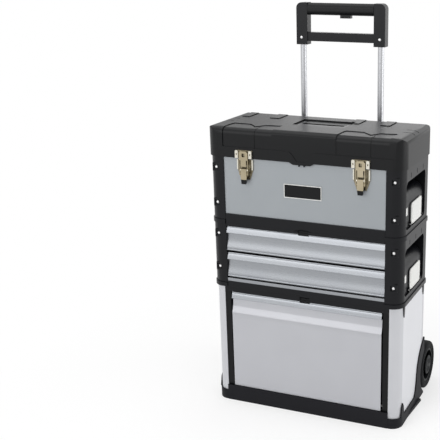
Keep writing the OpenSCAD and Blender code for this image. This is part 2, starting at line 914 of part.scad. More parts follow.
// front profile of a drawer in (y, z), from its lower edge up
module drawer_profile(z) {
    t = 2.2;
    y0 = yf + 0.8;
    h = drawer_h;
    face = [[y0 + 1.2, z], [y0 + 0.4, z + 1], [y0 + 0.4, z + 3.4], [y0 + 1.4, z + 4.4], [y0 + 1.2, z + 12],
        [y0 + 2.4, z + 18], [y0 + 4.6, z + 24], [y0 + 7.2, z + 29], [y0 + 8.2, z + 35],
        [y0 + 7.6, z + h - 22], [y0 + 5, z + h - 19.5], [y0 + 0.6, z + h - 18], [y0, z + h - 16.5],
        [y0, z + h - 3], [y0 + 0.9, z + h - 2.2], [y0 + 0.2, z + h - 1.4], [y0 + 0.8, z + h]];
    polygon(concat(face, [for (i = [len(face) - 1 : -1 : 0]) face[i] + [t, 0]]));
}

module drawer_front(z) {
    along_x(-px + 0.7, px - 0.7) drawer_profile(z);
}

module drawer_tray(z) {
    y0 = yf + 11.2;
    y1 = y0 + tray_d;
    z0 = z + 3;
    z1 = z + drawer_h - 10;
    lip = z + drawer_h / 2;
    difference() {
        union() {
            block([-tray_x, y0, z0], [tray_x, y1, z1]);
            // folded joint with the back of the front
            block([-tray_x, yf + 3 + 1.5, z + 5], [tray_x, y0 + eps, z + 11]);
        }
        block([-tray_x + sheet_t, y0 + sheet_t, z0 + sheet_t], [tray_x - sheet_t, y1 - sheet_t, z1 + 1]);
    }
    both() block([tray_x - eps, y0 + 4, lip - 1.5], [lip_out, y1, lip + 1.5]);
}

module upper_drawer_front() color("#c4c6ca") {
    difference() {
        drawer_front(z_d1);
        catch_notch(yf, z_d1 + drawer_h);
    }
}

module lower_drawer_front() color("#c4c6ca") {
    drawer_front(z_d2);
}

module upper_drawer_tray() color("#8f9296") {
    drawer_tray(z_d1);
}

module lower_drawer_tray() color("#8f9296") {
    drawer_tray(z_d2);
}

module upper_catch() color("#17191a") {
    centre_catch(rail_y, rail_y + gap, z_t0 - top_lip_h);
}

module middle_right_clasp() color("#d9dbde") {
    clasp(z_m0);
}

module middle_left_clasp() color("#d9dbde") {
    mirror([1, 0, 0]) clasp(z_m0);
}

// ---------- top box ----------

module top_right_frame() color("#26282a") {
    side_frame(z_t0, z_p1, top_win);
}

module top_left_frame() color("#26282a") {
    mirror([1, 0, 0]) side_frame(z_t0, z_p1, top_win);
}

module top_floor() color("#232527") {
    module_floor(z_t0, top_rail_h);
}

module top_front_panel() color("#a9adb1") {
    block([-px, panel_y, z_p0], [px, panel_y + sheet_t, z_p1]);
    block([-px, panel_y, z_p1 - sheet_t], [px, panel_y + 9, z_p1]);
    block([-px, panel_y, z_p0], [px, panel_y + 9, z_p0 + sheet_t]);
}

// barrel of a hinge knuckle between two places along x
module knuckle(x0, x1) {
    rod_x(x0, x1, hinge_y, hinge_z, knuckle_r);
}

module top_back_panel() color("#b4b7bb") {
    back_y = yr - shell_t;
    difference() {
        union() {
            block([-px, back_y, z_t0 + nest + shell_t], [px, back_y + sheet_t, z_p1]);
            both() for (x = [hinge_x - 24, hinge_x + 12 + gap]) {
                knuckle(x, x + 12 - gap);
                block([x, back_y, hinge_z - 24], [x + 12 - gap, hinge_y - 1.2, hinge_z - 3]);
                block([x, back_y, hinge_z - 6], [x + 12 - gap, hinge_y, hinge_z - 1]);
            }
        }
        both() rod_x(hinge_x - 30, hinge_x + 30, hinge_y, hinge_z, hinge_pin_r + fit);
    }
}

module top_rivets() color("#e6e6e8") {
    front_rivets(z_t0, z_p1);
}

module top_pivot_pins() color("#c9ccd0") {
    both() {
        clasp_pin(z_t0);
        rod_x(hinge_x - 25, hinge_x + 25, hinge_y, hinge_z, hinge_pin_r);
        rod_x(latch_x - 9.9, latch_x + 9.9, draw_y, draw_z, draw_pin_r);
    }
}

module draw_latch_base() {
    y1 = panel_y - 1.2;
    difference() {
        union() {
            along_y(y1, panel_y) polygon([[-base_half, draw_z + 25], [base_half, draw_z + 25],
                [base_half, draw_z], [12, draw_z - 25], [-12, draw_z - 25], [-base_half, draw_z]]);
            for (s = [-1, 1]) {
                // ears that hold the lever's pin
                translate([s > 0 ? 8.3 : -9.8, 0, 0]) {
                    block([0, draw_y, draw_z - 4.2], [1.5, y1 + eps, draw_z + 4.2]);
                    rod_x(0, 1.5, draw_y, draw_z, 4.2);
                }
                // raised edges
                translate([s > 0 ? base_half - 3 : -base_half, y1 - 3, draw_z]) cube([3, 3 + eps, 25]);
            }
        }
        rod_x(-12, 12, draw_y, draw_z, draw_pin_r + fit);
    }
}

module draw_latch_bases() color("#c8c3b4") {
    for (s = [-1, 1]) translate([s * latch_x, 0, 0]) draw_latch_base();
}

module draw_lever() {
    y0 = draw_y - 5.5;
    difference() {
        union() {
            along_y(y0, y0 + 1.5) polygon([[-8, draw_z + 3.5], [8, draw_z + 3.5], [8, draw_z - 18],
                [6, draw_z - 34], [-6, draw_z - 34], [-8, draw_z - 18]]);
            for (s = [-1, 1]) translate([s > 0 ? 6.5 : -8, 0, 0]) {
                block([0, y0 + 1.5 - eps, draw_z - 16], [1.5, draw_y + 3, draw_z + 3.5]);
            }
        }
        rod_x(-9, 9, draw_y, draw_z, draw_pin_r + fit);
        rod_x(-9, 9, draw_y + claw_dy, draw_z + claw_dz, claw_r + fit);
    }
}

module draw_claw() {
    y = draw_y + claw_dy;
    z = draw_z + claw_dz;
    top = z_l0 + 18;
    rod_x(-11.7, 11.7, y, z, claw_r);
    for (s = [-1, 1]) translate([s > 0 ? 10.2 : -11.7, 0, 0]) {
        block([0, y - 2.5, z - 3], [1.5, y + 1.6, z_l0 - 1]);
        block([0, y - 2.5, z_l0 - 1 - eps], [1.5, y - 0.6, top - 3]);
    }
    difference() {
        along_y(y - 2.5, y - 1) {
            translate([-11.7, z_l0 - 4]) square([23.4, top - z_l0 + 1]);
            translate([-9, top - 4]) square([18, 4]);
            translate([-7, draw_z + 9]) square([14, z_l0 - 4 - draw_z - 9 + eps]);
        }
        along_y(y - 3, y) round_rect([-4, z_l0 + 4], [4, z_l0 + 13], 2);
    }
}

module label_plate() color("#141516") {
    w = 97;
    h = 34;
    z = z_p0 + 55.5;
    block([-w / 2, panel_y - 1, z], [w / 2, panel_y, z + h]);
    difference() {
        block([-w / 2, panel_y - 1.5, z], [w / 2, panel_y - 1 + eps, z + h]);
        block([-w / 2 + 1.8, panel_y - 3, z + 1.8], [w / 2 - 1.8, panel_y - 1 + eps, z + h - 1.8]);
    }
}

module top_right_clasp() color("#d9dbde") {
    clasp(z_t0);
}

module top_left_clasp() color("#d9dbde") {
    mirror([1, 0, 0]) clasp(z_t0);
}

module left_draw_lever() color("#cfc6ac") {
    translate([-latch_x, 0, 0]) draw_lever();
}

module right_draw_lever() color("#cfc6ac") {
    translate([latch_x, 0, 0]) draw_lever();
}

module left_draw_claw() color("#d8d4c8") {
    translate([-latch_x, 0, 0]) draw_claw();
}

module right_draw_claw() color("#d8d4c8") {
    translate([latch_x, 0, 0]) draw_claw();
}

// ---------- lid ----------

// the lid's outside drawn in by g
module lid_form(g) {
    r = lid_edge_r - g;
    z1 = z_l1 - g;
    intersection() {
        translate([0, 0, z_l0]) linear_extrude(z1 - z_l0)
            plan2(lid_x - g, lid_yf + g, lid_yr - g, lid_rf - g, lid_rr - g);
        along_x(-lid_x - 1, lid_x + 1) arch_rect([lid_yf + g, z_l0 - 1], [lid_yr - g, z1], r);
        along_y(lid_yf - 1, lid_yr + 1) arch_rect([-lid_x + g, z_l0 - 1], [lid_x - g, z1], r);
    }
}

// rear edge of a sunken panel that starts at x0, with one notch
function panel_edge(x0) = let (y1 = lid_yf + 61) [[x0, lid_yf - 5], [x0, y1 - 12], [x0 + 3, y1],
    [x0 + 46, y1 - 2], [x0 + 72, lid_yf + 32], [x0 + 88, y1 - 4], [x0 + 128, y1 + 1]];

module sunk_panel2(x0) {
    polygon(concat(panel_edge(x0), [[x0 + 128, lid_yf - 5]]));
}

// band w wide along a chain of points
module chain2(points, w) {
    over = w * 0.4;
    for (i = [0 : len(points) - 2]) {
        a = points[i];
        d = points[i + 1] - a;
        translate(a) rotate(atan2(d.y, d.x)) translate([-over, -w / 2]) square([norm(d) + 2 * over, w]);
    }
}

// the carry handle's well, arm channels and shelf, drawn as what is taken away;
// grown by g it is the walls that stay round them
module recess_void(g) {
    rw = recess_w / 2;
    ry0 = recess_y - recess_d / 2;
    ry1 = recess_y + recess_d / 2;
    translate([recess_x, 0, 0]) {
        block([-rw - g, ry0 - g, z_l1 - recess_low - g], [rw + g, ry1 + g, z_l1 + 5]);
        block([-bail_half - 1.5 - g, ry0 - g, z_l1 - recess_h - g],
            [bail_half + 1.5 + g, well_y1 + g, z_l1 + 5]);
        both() block([bail_half - bail_arm - 1.5 - g, well_y1 - 1, bail_z - 6.5 - g],
            [bail_half + 1.5 + g, bail_y + 6.5 + g, z_l1 + 5]);
    }
}

module lid() color("#2a2c2e") {
    step_z = z_l0 + rim_h;
    panel_x = [-205, 88];
    band_x = [[-228, -207], [-150, -125], [64, 89], [144, 168]];
    band_y = [lid_yr - 71, lid_yr - lid_edge_r];
    difference() {
        union() {
            difference() {
                union() {
                    lid_form(0);
                    for (b = band_x) block([b[0], band_y[0], z_l1 - 2], [b[1], band_y[1], z_l1 + 1.6]);
                    // lower edge dips in the middle
                    along_y(lid_yf, lid_yf + lid_t) {
                        polygon([[-36, z_l0 + 2], [-22, z_l0 - 5.5], [22, z_l0 - 5.5], [36, z_l0 + 2]]);
                        for (x = [-8, 5]) translate([x, z_l0 - 9]) square([3, 5]);
                    }
                }
                lid_form_inner();
            }
            // walls and floors of the recess
            intersection() {
                recess_void(lid_t);
                lid_form(eps);
            }
            // hinge knuckles
            both() {
                knuckle(hinge_x - 12, hinge_x + 12);
                block([hinge_x - 12, lid_yr - 1.5, hinge_z], [hinge_x + 12, hinge_y + 3, z_l0 + 8]);
            }
        }
        // face over the rim stands back, with a vee in the middle
        along_y(lid_yf - 1, lid_yf + lid_cut) {
            translate([panel_x[0], step_z]) square([lid_x - 18 - panel_x[0], 80]);
            polygon([[-34, step_z + 1], [-26, step_z - 5], [-12, z_l0 + 2], [12, z_l0 + 2],
                [26, step_z - 5], [34, step_z + 1]]);
        }
        // two sunken panels over the front edge, each with a groove round it
        difference() {
            translate([0, 0, step_z]) linear_extrude(90) for (x = panel_x) sunk_panel2(x);
            lid_form(lid_cut * 1.2);
        }
        difference() {
            translate([0, 0, step_z]) linear_extrude(90) for (x = panel_x) {
                chain2(panel_edge(x), groove_w);
                translate([x + 83, lid_yf - 2]) square([2, 36]);
            }
            lid_form(groove_d);
        }
        // grooves beside the raised bands
        for (b = band_x) block([b[1], band_y[0], z_l1 - groove_d], [b[1] + 2.8, lid_yr - 12, z_l1 + 3]);
        // short grooves on the ends
        difference() {
            for (s = [-1, 1], y = [-24, 8]) block([s * (lid_x - 19) - 15, y, step_z + 20],
                [s * (lid_x - 19) + 15, y + 3.2, z_l1 + 1]);
            lid_form(groove_d);
        }
        // recess and the carry handle's bores
        recess_void(0);
        rod_x(recess_x - recess_w / 2, recess_x + recess_w / 2, bail_y, bail_z, bail_pin_r + fit);
        both() rod_x(hinge_x - 20, hinge_x + 20, hinge_y, hinge_z, hinge_pin_r + fit);
    }
}

module lid_form_inner() {
    t = lid_t;
    intersection() {
        translate([0, 0, z_l0 - 10]) linear_extrude(lid_h + 10 - t)
            plan2(lid_x - t, lid_yf + t, lid_yr - t, lid_rf - t, lid_rr - t);
        along_x(-lid_x, lid_x) arch_rect([lid_yf + t, z_l0 - 11], [lid_yr - t, z_l1 - t], lid_edge_r - t);
        along_y(lid_yf, lid_yr) arch_rect([-lid_x + t, z_l0 - 11], [lid_x - t, z_l1 - t], lid_edge_r - t);
    }
}

module lid_keepers() color("#dcd9cf") {
    y0 = lid_yf - 1.2;
    for (s = [-1, 1]) translate([s * latch_x, 0, 0]) {
        block([-base_half - 1, y0, z_l0 + 1], [base_half + 1, lid_yf, z_l0 + keeper_h]);
        for (k = [-1, 1]) translate([k * (base_half + 1 - ear_w / 2), 0, 0]) difference() {
            along_y(y0 - 4.5, y0 + eps) arch_rect([-ear_w / 2, z_l0 + 1], [ear_w / 2, z_l0 + keeper_h], 3);
            along_y(y0 - 6, y0) round_rect([-1.4, z_l0 + 8], [1.4, z_l0 + 13], 1.3);
        }
    }
}

module lid_handle() color("#1d1f21") {
    z0 = bail_z - bail_t / 2;
    z1 = bail_z + bail_t / 2;
    half = bail_half;
    translate([recess_x, 0, 0]) difference() {
        union() {
            along_x(-half, half) round_rect([bail_front, z0], [bail_front + bail_bar, z1], 3);
            both() {
                block([half - bail_arm, bail_front + bail_bar / 2, z0], [half, bail_y, z1]);
                rod_x(half - bail_arm, half, bail_y, bail_z, bail_t / 2);
                rod_x(half - eps, recess_w / 2 - gap, bail_y, bail_z, bail_pin_r);
            }
        }
        // finger ribs under the bar
        for (i = [-4 : 4]) block([i * 9 - 1.5, bail_front - 1, z0 - 1],
            [i * 9 + 1.5, bail_front + bail_bar + 1, z0 + 1]);
    }
}

// ---------- mirrored and paired parts ----------

module left_tyre() { tyre(-1); }
module right_tyre() { tyre(1); }
module left_wheel_hub() { wheel_hub(-1); }
module right_wheel_hub() { wheel_hub(1); }
module left_hub_cap() { hub_cap(-1); }
module right_hub_cap() { hub_cap(1); }

// ---------- draw ----------

base_moulding();
lower_posts();
lower_side_panels();
lower_back_panel();
lower_top_frame();
door_surround();
wheel_housings();
axle();
outer_tubes();
tube_brackets();
bin_pivot_pins();
bin_front();
bin_tray();
lower_catch();
left_tyre();
right_tyre();
left_wheel_hub();
right_wheel_hub();
left_hub_cap();
right_hub_cap();
inner_tubes();
handle_frame();
handle_grip();
handle_rivets();
handle_button();
middle_left_frame();
middle_right_frame();
middle_floor();
middle_top_rail();
middle_back_panel();
trim_strip();
drawer_runners();
middle_rivets();
middle_clasp_pins();
upper_drawer_front();
upper_drawer_tray();
lower_drawer_front();
lower_drawer_tray();
upper_catch();
middle_left_clasp();
middle_right_clasp();
top_left_frame();
top_right_frame();
top_floor();
top_front_panel();
top_back_panel();
top_rivets();
top_pivot_pins();
draw_latch_bases();
label_plate();
top_left_clasp();
top_right_clasp();
left_draw_lever();
right_draw_lever();
left_draw_claw();
right_draw_claw();
lid();
lid_keepers();
lid_handle();
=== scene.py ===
"""Looks of a wheeled three-part tool box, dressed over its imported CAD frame.

The CAD nodes keep their places and sizes. Moulded and pressed pieces are shown by
copies with softened edges, and the drawer and bin fronts, tyres, hub caps, rivet
heads and latch tips are surfaces worked out with numpy. Lengths are in millimetres
until a mesh is written, where MM turns them into Blender's metres. Only the studio
is laid out in metres.
"""

import json
import logging
import math
from dataclasses import dataclass
from enum import Enum

import bmesh
import bpy
import numpy as np
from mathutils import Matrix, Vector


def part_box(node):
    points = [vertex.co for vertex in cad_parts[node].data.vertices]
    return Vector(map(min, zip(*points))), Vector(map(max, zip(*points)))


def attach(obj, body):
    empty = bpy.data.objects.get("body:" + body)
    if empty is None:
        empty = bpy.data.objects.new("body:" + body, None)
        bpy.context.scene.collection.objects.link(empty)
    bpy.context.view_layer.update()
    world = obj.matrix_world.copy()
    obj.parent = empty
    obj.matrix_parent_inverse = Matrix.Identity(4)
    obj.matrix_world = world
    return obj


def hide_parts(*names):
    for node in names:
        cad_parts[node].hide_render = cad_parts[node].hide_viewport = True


MM = 0.001
# Points closer than this many metres are one point.
SAME_POINT = 1e-6
# Half the width and the depth of the notch that a catch takes in the front below it.
CATCH_NOTCH_MM = (13.3, 3.3)
# The size of the slow drift in colour over a surface.
CLOUD_MM = 90.0
# Most of a noise pattern's values lie between these two.
NOISE_SPAN = (0.3, 0.7)
LOG = logging.getLogger("tool_box")

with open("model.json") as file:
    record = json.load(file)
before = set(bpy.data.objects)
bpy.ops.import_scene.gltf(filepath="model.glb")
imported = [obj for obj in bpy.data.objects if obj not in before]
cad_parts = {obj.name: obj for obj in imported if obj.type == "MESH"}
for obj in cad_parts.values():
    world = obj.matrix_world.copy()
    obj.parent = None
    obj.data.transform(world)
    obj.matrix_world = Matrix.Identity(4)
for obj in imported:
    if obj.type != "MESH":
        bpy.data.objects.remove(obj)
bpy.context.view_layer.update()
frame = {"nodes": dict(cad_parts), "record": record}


# ---------- colours and nodes ----------


def linear(hex_colour: str) -> tuple[float, float, float, float]:
    """Turns an sRGB hex colour into the linear values that a shader takes.

    Args:
        hex_colour: six hex digits, with or without a leading hash.

    Returns:
        Linear red, green, blue and an alpha of 1.
    """
    digits = hex_colour.lstrip("#")
    srgb = np.array([int(digits[i : i + 2], 16) / 255 for i in (0, 2, 4)])
    low = srgb / 12.92
    high = ((srgb + 0.055) / 1.055) ** 2.4
    value = np.where(srgb <= 0.04045, low, high)
    return (*value.tolist(), 1.0)


def add(
    tree: bpy.types.NodeTree,
    kind: str,
    settings: dict[str, object] | None = None,
    links: dict[str, bpy.types.NodeSocket] | None = None,
) -> bpy.types.Node:
    """Adds one node with its settings and links.

    Args:
        tree: the node tree that takes the node.
        kind: Blender's name of the node type.
        settings: values by name, set on the input socket of that name or else on the node.
        links: output sockets by the name of the input that each one feeds.

    Returns:
        The new node.
    """
    node = tree.nodes.new(kind)
    for name, value in (settings or {}).items():
        if name in node.inputs:
            node.inputs[name].default_value = value
        else:
            setattr(node, name, value)
    for name, socket in (links or {}).items():
        tree.links.new(socket, node.inputs[name])
    return node


# ---------- finishes ----------


class Along(Enum):
    """The axis that a pattern, a turning or a cut goes by."""

    X = 0
    Y = 1
    Z = 2


class Side(Enum):
    """A side of the box, by its word in the nodes' names."""

    LEFT = "left"
    RIGHT = "right"

    def sign(self) -> int:
        """Gives the way along X that is outwards on this side."""
        return 1 if self is Side.RIGHT else -1


@dataclass(frozen=True)
class Finish:
    """What a surface is made of and how it was made.

    The pattern is a noise of the stated size in millimetres that bumps the surface and
    shifts its roughness, and a slower noise mixes the second colour into the first. A
    stretched pattern runs along one axis. The real grain of these plastics and sheets is
    a tenth of a millimetre or so and wouldn't show, so it is drawn about ten times as
    coarse.
    """

    name: str
    colour: str
    second: str
    roughness: float
    metallic: float = 0.0
    ior: float = 1.5
    grain_mm: float = 1.2
    bump_mm: float = 0.03
    rough_spread: float = 0.08
    tint: float = 0.35
    stretch: float = 1.0
    along: Along = Along.X

    def is_metal(self) -> bool:
        """Says whether the finish is bare metal, which keeps the shader's own IOR."""
        return self.metallic >= 0.5

    def material(self) -> bpy.types.Material:
        """Builds the material, unless it is already there.

        Returns:
            The one material of this finish.
        """
        made = bpy.data.materials.get(self.name)
        if made is not None:
            return made
        made = bpy.data.materials.new(self.name)
        made.use_nodes = True
        tree = made.node_tree
        tree.nodes.clear()
        place = add(tree, "ShaderNodeTexCoord")
        scale = [1.0, 1.0, 1.0]
        scale[self.along.value] = 1.0 / self.stretch
        spread = add(
            tree, "ShaderNodeMapping", {"Scale": scale}, {"Vector": place.outputs["Object"]}
        )
        grain = add(
            tree,
            "ShaderNodeTexNoise",
            {"Scale": 1.0 / (self.grain_mm * MM), "Detail": 3.0, "Roughness": 0.6},
            {"Vector": spread.outputs["Vector"]},
        )
        cloud = add(
            tree,
            "ShaderNodeTexNoise",
            {"Scale": 1.0 / (CLOUD_MM * MM), "Detail": 2.0},
            {"Vector": place.outputs["Object"]},
        )
        low, high = NOISE_SPAN
        share = add(
            tree,
            "ShaderNodeMapRange",
            {"From Min": low, "From Max": high, "To Min": 0.0, "To Max": self.tint},
            {"Value": cloud.outputs["Fac"]},
        )
        tinted = add(
            tree,
            "ShaderNodeMixRGB",
            {"Color1": linear(self.colour), "Color2": linear(self.second)},
            {"Fac": share.outputs["Result"]},
        )
        rough = add(
            tree,
            "ShaderNodeMapRange",
            {
                "From Min": low,
                "From Max": high,
                "To Min": self.roughness - self.rough_spread / 2,
                "To Max": self.roughness + self.rough_spread / 2,
            },
            {"Value": grain.outputs["Fac"]},
        )
        bump = add(
            tree,
            "ShaderNodeBump",
            {"Strength": 1.0, "Distance": self.bump_mm * MM},
            {"Height": grain.outputs["Fac"]},
        )
        shader = add(
            tree,
            "ShaderNodeBsdfPrincipled",
            {"Metallic": self.metallic},
            {
                "Base Color": tinted.outputs["Color"],
                "Roughness": rough.outputs["Result"],
                "Normal": bump.outputs["Normal"],
            },
        )
        if not self.is_metal():
            shader.inputs["IOR"].default_value = self.ior
        add(tree, "ShaderNodeOutputMaterial", links={"Surface": shader.outputs["BSDF"]})
        return made


# Moulded polypropylene, spark-textured: nearly black head on, grey at a glancing angle.
MOULDED_PP = Finish(
    "Moulded polypropylene", "0E0F13", "131418", 0.36, ior=1.31, grain_mm=1.6, bump_mm=0.05
)
# Base and wheel arches: the same resin with a rougher, duller skin.
DULL_PP = Finish(
    "Dull polypropylene", "1C1C20", "222226", 0.6, ior=1.24, grain_mm=1.8, bump_mm=0.05
)
# The lid's polypropylene has a coarser leather grain that spreads its sheen.
GRAINED_PP = Finish(
    "Leather-grained polypropylene", "0D0E10", "121315", 0.38, ior=1.31, grain_mm=2.2, bump_mm=0.08
)
# Smooth ABS of catches, surrounds and the carry handle: deep black with a soft shine.
SMOOTH_ABS = Finish(
    "Smooth black ABS", "0B0C0E", "101113", 0.32, ior=1.30, grain_mm=3.0, bump_mm=0.01
)
# Moulded polypropylene of the bin's tray: dull dark grey.
TRAY_PP = Finish(
    "Tray polypropylene", "2A2C2F", "323538", 0.5, ior=1.4, grain_mm=1.5, bump_mm=0.03
)
# Cold-rolled steel under silver lacquer: an even, slightly bluish mid grey.
SILVER_LACQUER = Finish(
    "Silver-lacquered steel", "A3A8AC", "9CA1A5", 0.42, metallic=0.3, grain_mm=0.9, bump_mm=0.004
)
# The same lacquer on the tilting front, a shade paler.
DOOR_LACQUER = Finish(
    "Silver-lacquered door steel", "C5C6CB", "BEBFC4", 0.40, metallic=0.3, grain_mm=0.9, bump_mm=0.004
)
# Side panels: the silver lacquer painted paler, almost white, as painted light; the softbox from the
# right lights them as well.
SIDE_LACQUER_PAINTED_LIGHT = Finish(
    "Silver-lacquered steel, painted light", "E8E9ED", "E2E3E7", 0.48, metallic=0.1, grain_mm=0.9, bump_mm=0.004
)
# Corner posts are rolled from the same sheet and look a little greyer.
POST_LACQUER = Finish(
    "Rolled silver-lacquered steel", "D3D4D8", "CACBCF", 0.38, metallic=0.3, grain_mm=0.9, bump_mm=0.004
)
# Extruded aluminium, brushed lengthwise: fine streaks and a pale shine on its ribs.
BRUSHED_ALUMINIUM = Finish(
    "Brushed aluminium", "9DA0A4", "9699A0", 0.28, metallic=0.75, grain_mm=0.7, bump_mm=0.001,
    rough_spread=0.03, stretch=60, along=Along.X,
)
# Anodised tube, drawn along its length: pale, with long soft streaks of light.
ANODISED_TUBE = Finish(
    "Anodised aluminium tube", "BEBFC2", "B2B3B7", 0.3, metallic=0.8, grain_mm=0.7, bump_mm=0.001,
    stretch=50, along=Along.Z,
)
# Galvanised steel of runners and drawer trays: dull grey with faint flakes.
GALVANISED = Finish(
    "Galvanised steel", "94979B", "83868A", 0.46, metallic=0.8, grain_mm=6.0, bump_mm=0.004,
    rough_spread=0.2,
)
# Bright zinc plate of the side clasps, pins and axle: nearly white, with a soft shine.
BRIGHT_ZINC = Finish(
    "Bright zinc plate", "EEEEEB", "E6E6E3", 0.4, metallic=0.25, grain_mm=5.0, bump_mm=0.006
)
# Nickel plate of the latch levers and claws: a warm, slightly yellow shine.
WARM_NICKEL = Finish(
    "Nickel plate", "BDB198", "8F8569", 0.2, metallic=0.95, grain_mm=4.0, bump_mm=0.012, tint=0.7
)
# The flat of the latch plates: the nickel painted darker, a warm mid grey, as painted shade between
# their raised edges.
SHADED_NICKEL = Finish(
    "Nickel plate, painted shade", "8E8672", "6F6856", 0.3, metallic=0.9, grain_mm=4.0, bump_mm=0.01, tint=0.6
)
# Raised edges and ears of the latch plates: the nickel painted paler than the levers, as a painted
# highlight.
HIGHLIT_NICKEL = Finish(
    "Nickel plate, painted highlight", "E6E2D6", "CFCABA", 0.2, metallic=0.8, grain_mm=4.0, bump_mm=0.01, tint=0.5
)
# Aluminium rivet heads, bright and slightly dimpled.
RIVET_ALUMINIUM = Finish(
    "Rivet aluminium", "F4F4F4", "EAEAEB", 0.3, metallic=0.4, grain_mm=2.0, bump_mm=0.01
)
# Tyre rubber: dusty charcoal with no shine.
TYRE_RUBBER = Finish(
    "Tyre rubber", "121315", "1A1B1D", 0.7, ior=1.22, grain_mm=1.4, bump_mm=0.05
)
# Soft grip rubber: black, with only a broad, weak sheen.
GRIP_RUBBER = Finish(
    "Grip rubber", "101113", "151618", 0.42, ior=1.30, grain_mm=1.0, bump_mm=0.03
)
# Glass-filled nylon of the wheel hubs: mid-dark grey with a satin shine.
HUB_NYLON = Finish(
    "Glass-filled nylon", "17191B", "1E2023", 0.5, ior=1.25, grain_mm=1.6, bump_mm=0.03
)


# ---------- meshes ----------


def new_object(
    name: str, verts: np.ndarray, faces: np.ndarray, body: str, finish: Finish
) -> bpy.types.Object:
    """Writes a mesh into a new object that rides on a body.

    Args:
        name: the piece's name.
        verts: points in millimetres, one row each.
        faces: rows of vertex numbers, all with as many corners.
        body: the CAD body that carries the piece.
        finish: the finish of the whole piece.

    Returns:
        The new object, at the origin.
    """
    mesh = bpy.data.meshes.new(name)
    mesh.from_pydata((verts * MM).tolist(), [], faces.tolist())
    mesh.polygons.foreach_set("use_smooth", np.ones(len(mesh.polygons), bool))
    mesh.validate()
    piece = bpy.data.objects.new(name, mesh)
    bpy.context.scene.collection.objects.link(piece)
    mesh.materials.append(finish.material())
    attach(piece, body)
    return piece


def grid_faces(rows: int, cols: int, close_rows: bool, close_cols: bool) -> np.ndarray:
    """Numbers the quads of a grid of points.

    Args:
        rows: points along the first parameter.
        cols: points along the second parameter.
        close_rows: the last row joins the first.
        close_cols: the last column joins the first.

    Returns:
        One row of four vertex numbers per quad.
    """
    i = np.arange(rows if close_rows else rows - 1)
    j = np.arange(cols if close_cols else cols - 1)
    a, b = np.meshgrid(i, j, indexing="ij")
    a2, b2 = (a + 1) % rows, (b + 1) % cols
    quads = np.stack([a * cols + b, a2 * cols + b, a2 * cols + b2, a * cols + b2], -1)
    return quads.reshape(-1, 4)


def turned(
    profile: np.ndarray, centre: tuple[float, float, float], axis: Along, sign: int, steps: int = 48
) -> tuple[np.ndarray, np.ndarray]:
    """Turns a closed profile round an axis.

    A profile point at radius r and height h goes to centre + sign * h along the axis, and
    to r * (cos t, sin t) across it, for steps angles t round the circle. Points at radius
    zero stay on the axis.

    Args:
        profile: rows of radius and height, closed by joining the last to the first.
        centre: the place of radius 0 and height 0.
        axis: the axis of the turning.
        sign: the way along the axis in which heights grow.
        steps: angles round the circle.

    Returns:
        Points and quads with their faces outwards.
    """
    t = np.linspace(0, 2 * math.pi, steps, endpoint=False)
    r, h = profile[:, 0], profile[:, 1]
    a = axis.value
    b, c = (a + 1) % 3, (a + 2) % 3
    points = np.zeros((steps, len(profile), 3))
    points[..., a] = sign * h[None, :]
    points[..., b] = r[None, :] * np.cos(t)[:, None]
    points[..., c] = r[None, :] * np.sin(t)[:, None]
    points += np.array(centre)
    faces = grid_faces(steps, len(profile), True, True)
    if sign > 0:
        faces = faces[:, ::-1]
    return points.reshape(-1, 3), faces


def tidy(piece: bpy.types.Object) -> bpy.types.Object:
    """Merges doubled points, drops faces without area and turns all faces outwards.

    Args:
        piece: the piece, changed in place.

    Returns:
        The same piece.
    """
    shape = bmesh.new()
    shape.from_mesh(piece.data)
    bmesh.ops.remove_doubles(shape, verts=shape.verts, dist=SAME_POINT)
    bmesh.ops.dissolve_degenerate(shape, edges=shape.edges, dist=SAME_POINT / 10)
    bmesh.ops.recalc_face_normals(shape, faces=shape.faces)
    shape.to_mesh(piece.data)
    shape.free()
    return piece


def joined(parts: list[tuple[np.ndarray, np.ndarray]]) -> tuple[np.ndarray, np.ndarray]:
    """Puts several meshes into one.

    Args:
        parts: points and faces of each mesh, all faces with as many corners.

    Returns:
        All points and all faces.
    """
    counts = np.cumsum([0] + [len(p[0]) for p in parts[:-1]])
    verts = np.concatenate([p[0] for p in parts])
    faces = np.concatenate([p[1] + n for p, n in zip(parts, counts)])
    return verts, faces


def dome(radius: float, height: float, sunk: float = 0.6, steps: int = 8) -> np.ndarray:
    """Gives a rivet head's profile: a quarter of an ellipse over a flat foot.

    Args:
        radius: the head's radius.
        height: the head's height.
        sunk: how far the foot goes into the sheet.
        steps: points on the quarter ellipse.

    Returns:
        Rows of radius and height from the rim to the axis and back.
    """
    t = np.linspace(0, math.pi / 2, steps)
    arc = np.stack([radius * np.cos(t), height * np.sin(t)], -1)
    return np.concatenate([[[0.0, -sunk], [radius, -sunk]], arc])


def node_mm(node: str) -> tuple[np.ndarray, np.ndarray]:
    """Returns a CAD node's lowest and highest corners in millimetres."""
    low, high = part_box(node)
    return np.array(low) / MM, np.array(high) / MM


def body_of_node(node: str) -> str:
    """Returns the body that a CAD node belongs to."""
    bodies = frame["record"]["behaviour"]["bodies"]
    return next(name for name, nodes in bodies.items() if node in nodes)


def islands_mm(node: str) -> list[tuple[np.ndarray, np.ndarray]]:
    """Finds the separate solids of a CAD node.

    Args:
        node: the CAD node.

    Returns:
        The lowest and highest corner of each solid, in millimetres.
    """
    shape = bmesh.new()
    shape.from_mesh(frame["nodes"][node].data)
    bmesh.ops.remove_doubles(shape, verts=shape.verts, dist=SAME_POINT)
    seen: set[int] = set()
    found = []
    for start in shape.verts:
        if start.index in seen:
            continue
        seen.add(start.index)
        stack, group = [start], []
        while stack:
            vert = stack.pop()
            group.append(vert.co[:])
            for edge in vert.link_edges:
                other = edge.other_vert(vert)
                if other.index not in seen:
                    seen.add(other.index)
                    stack.append(other)
        points = np.array(group) / MM
        found.append((points.min(0), points.max(0)))
    shape.free()
    return found


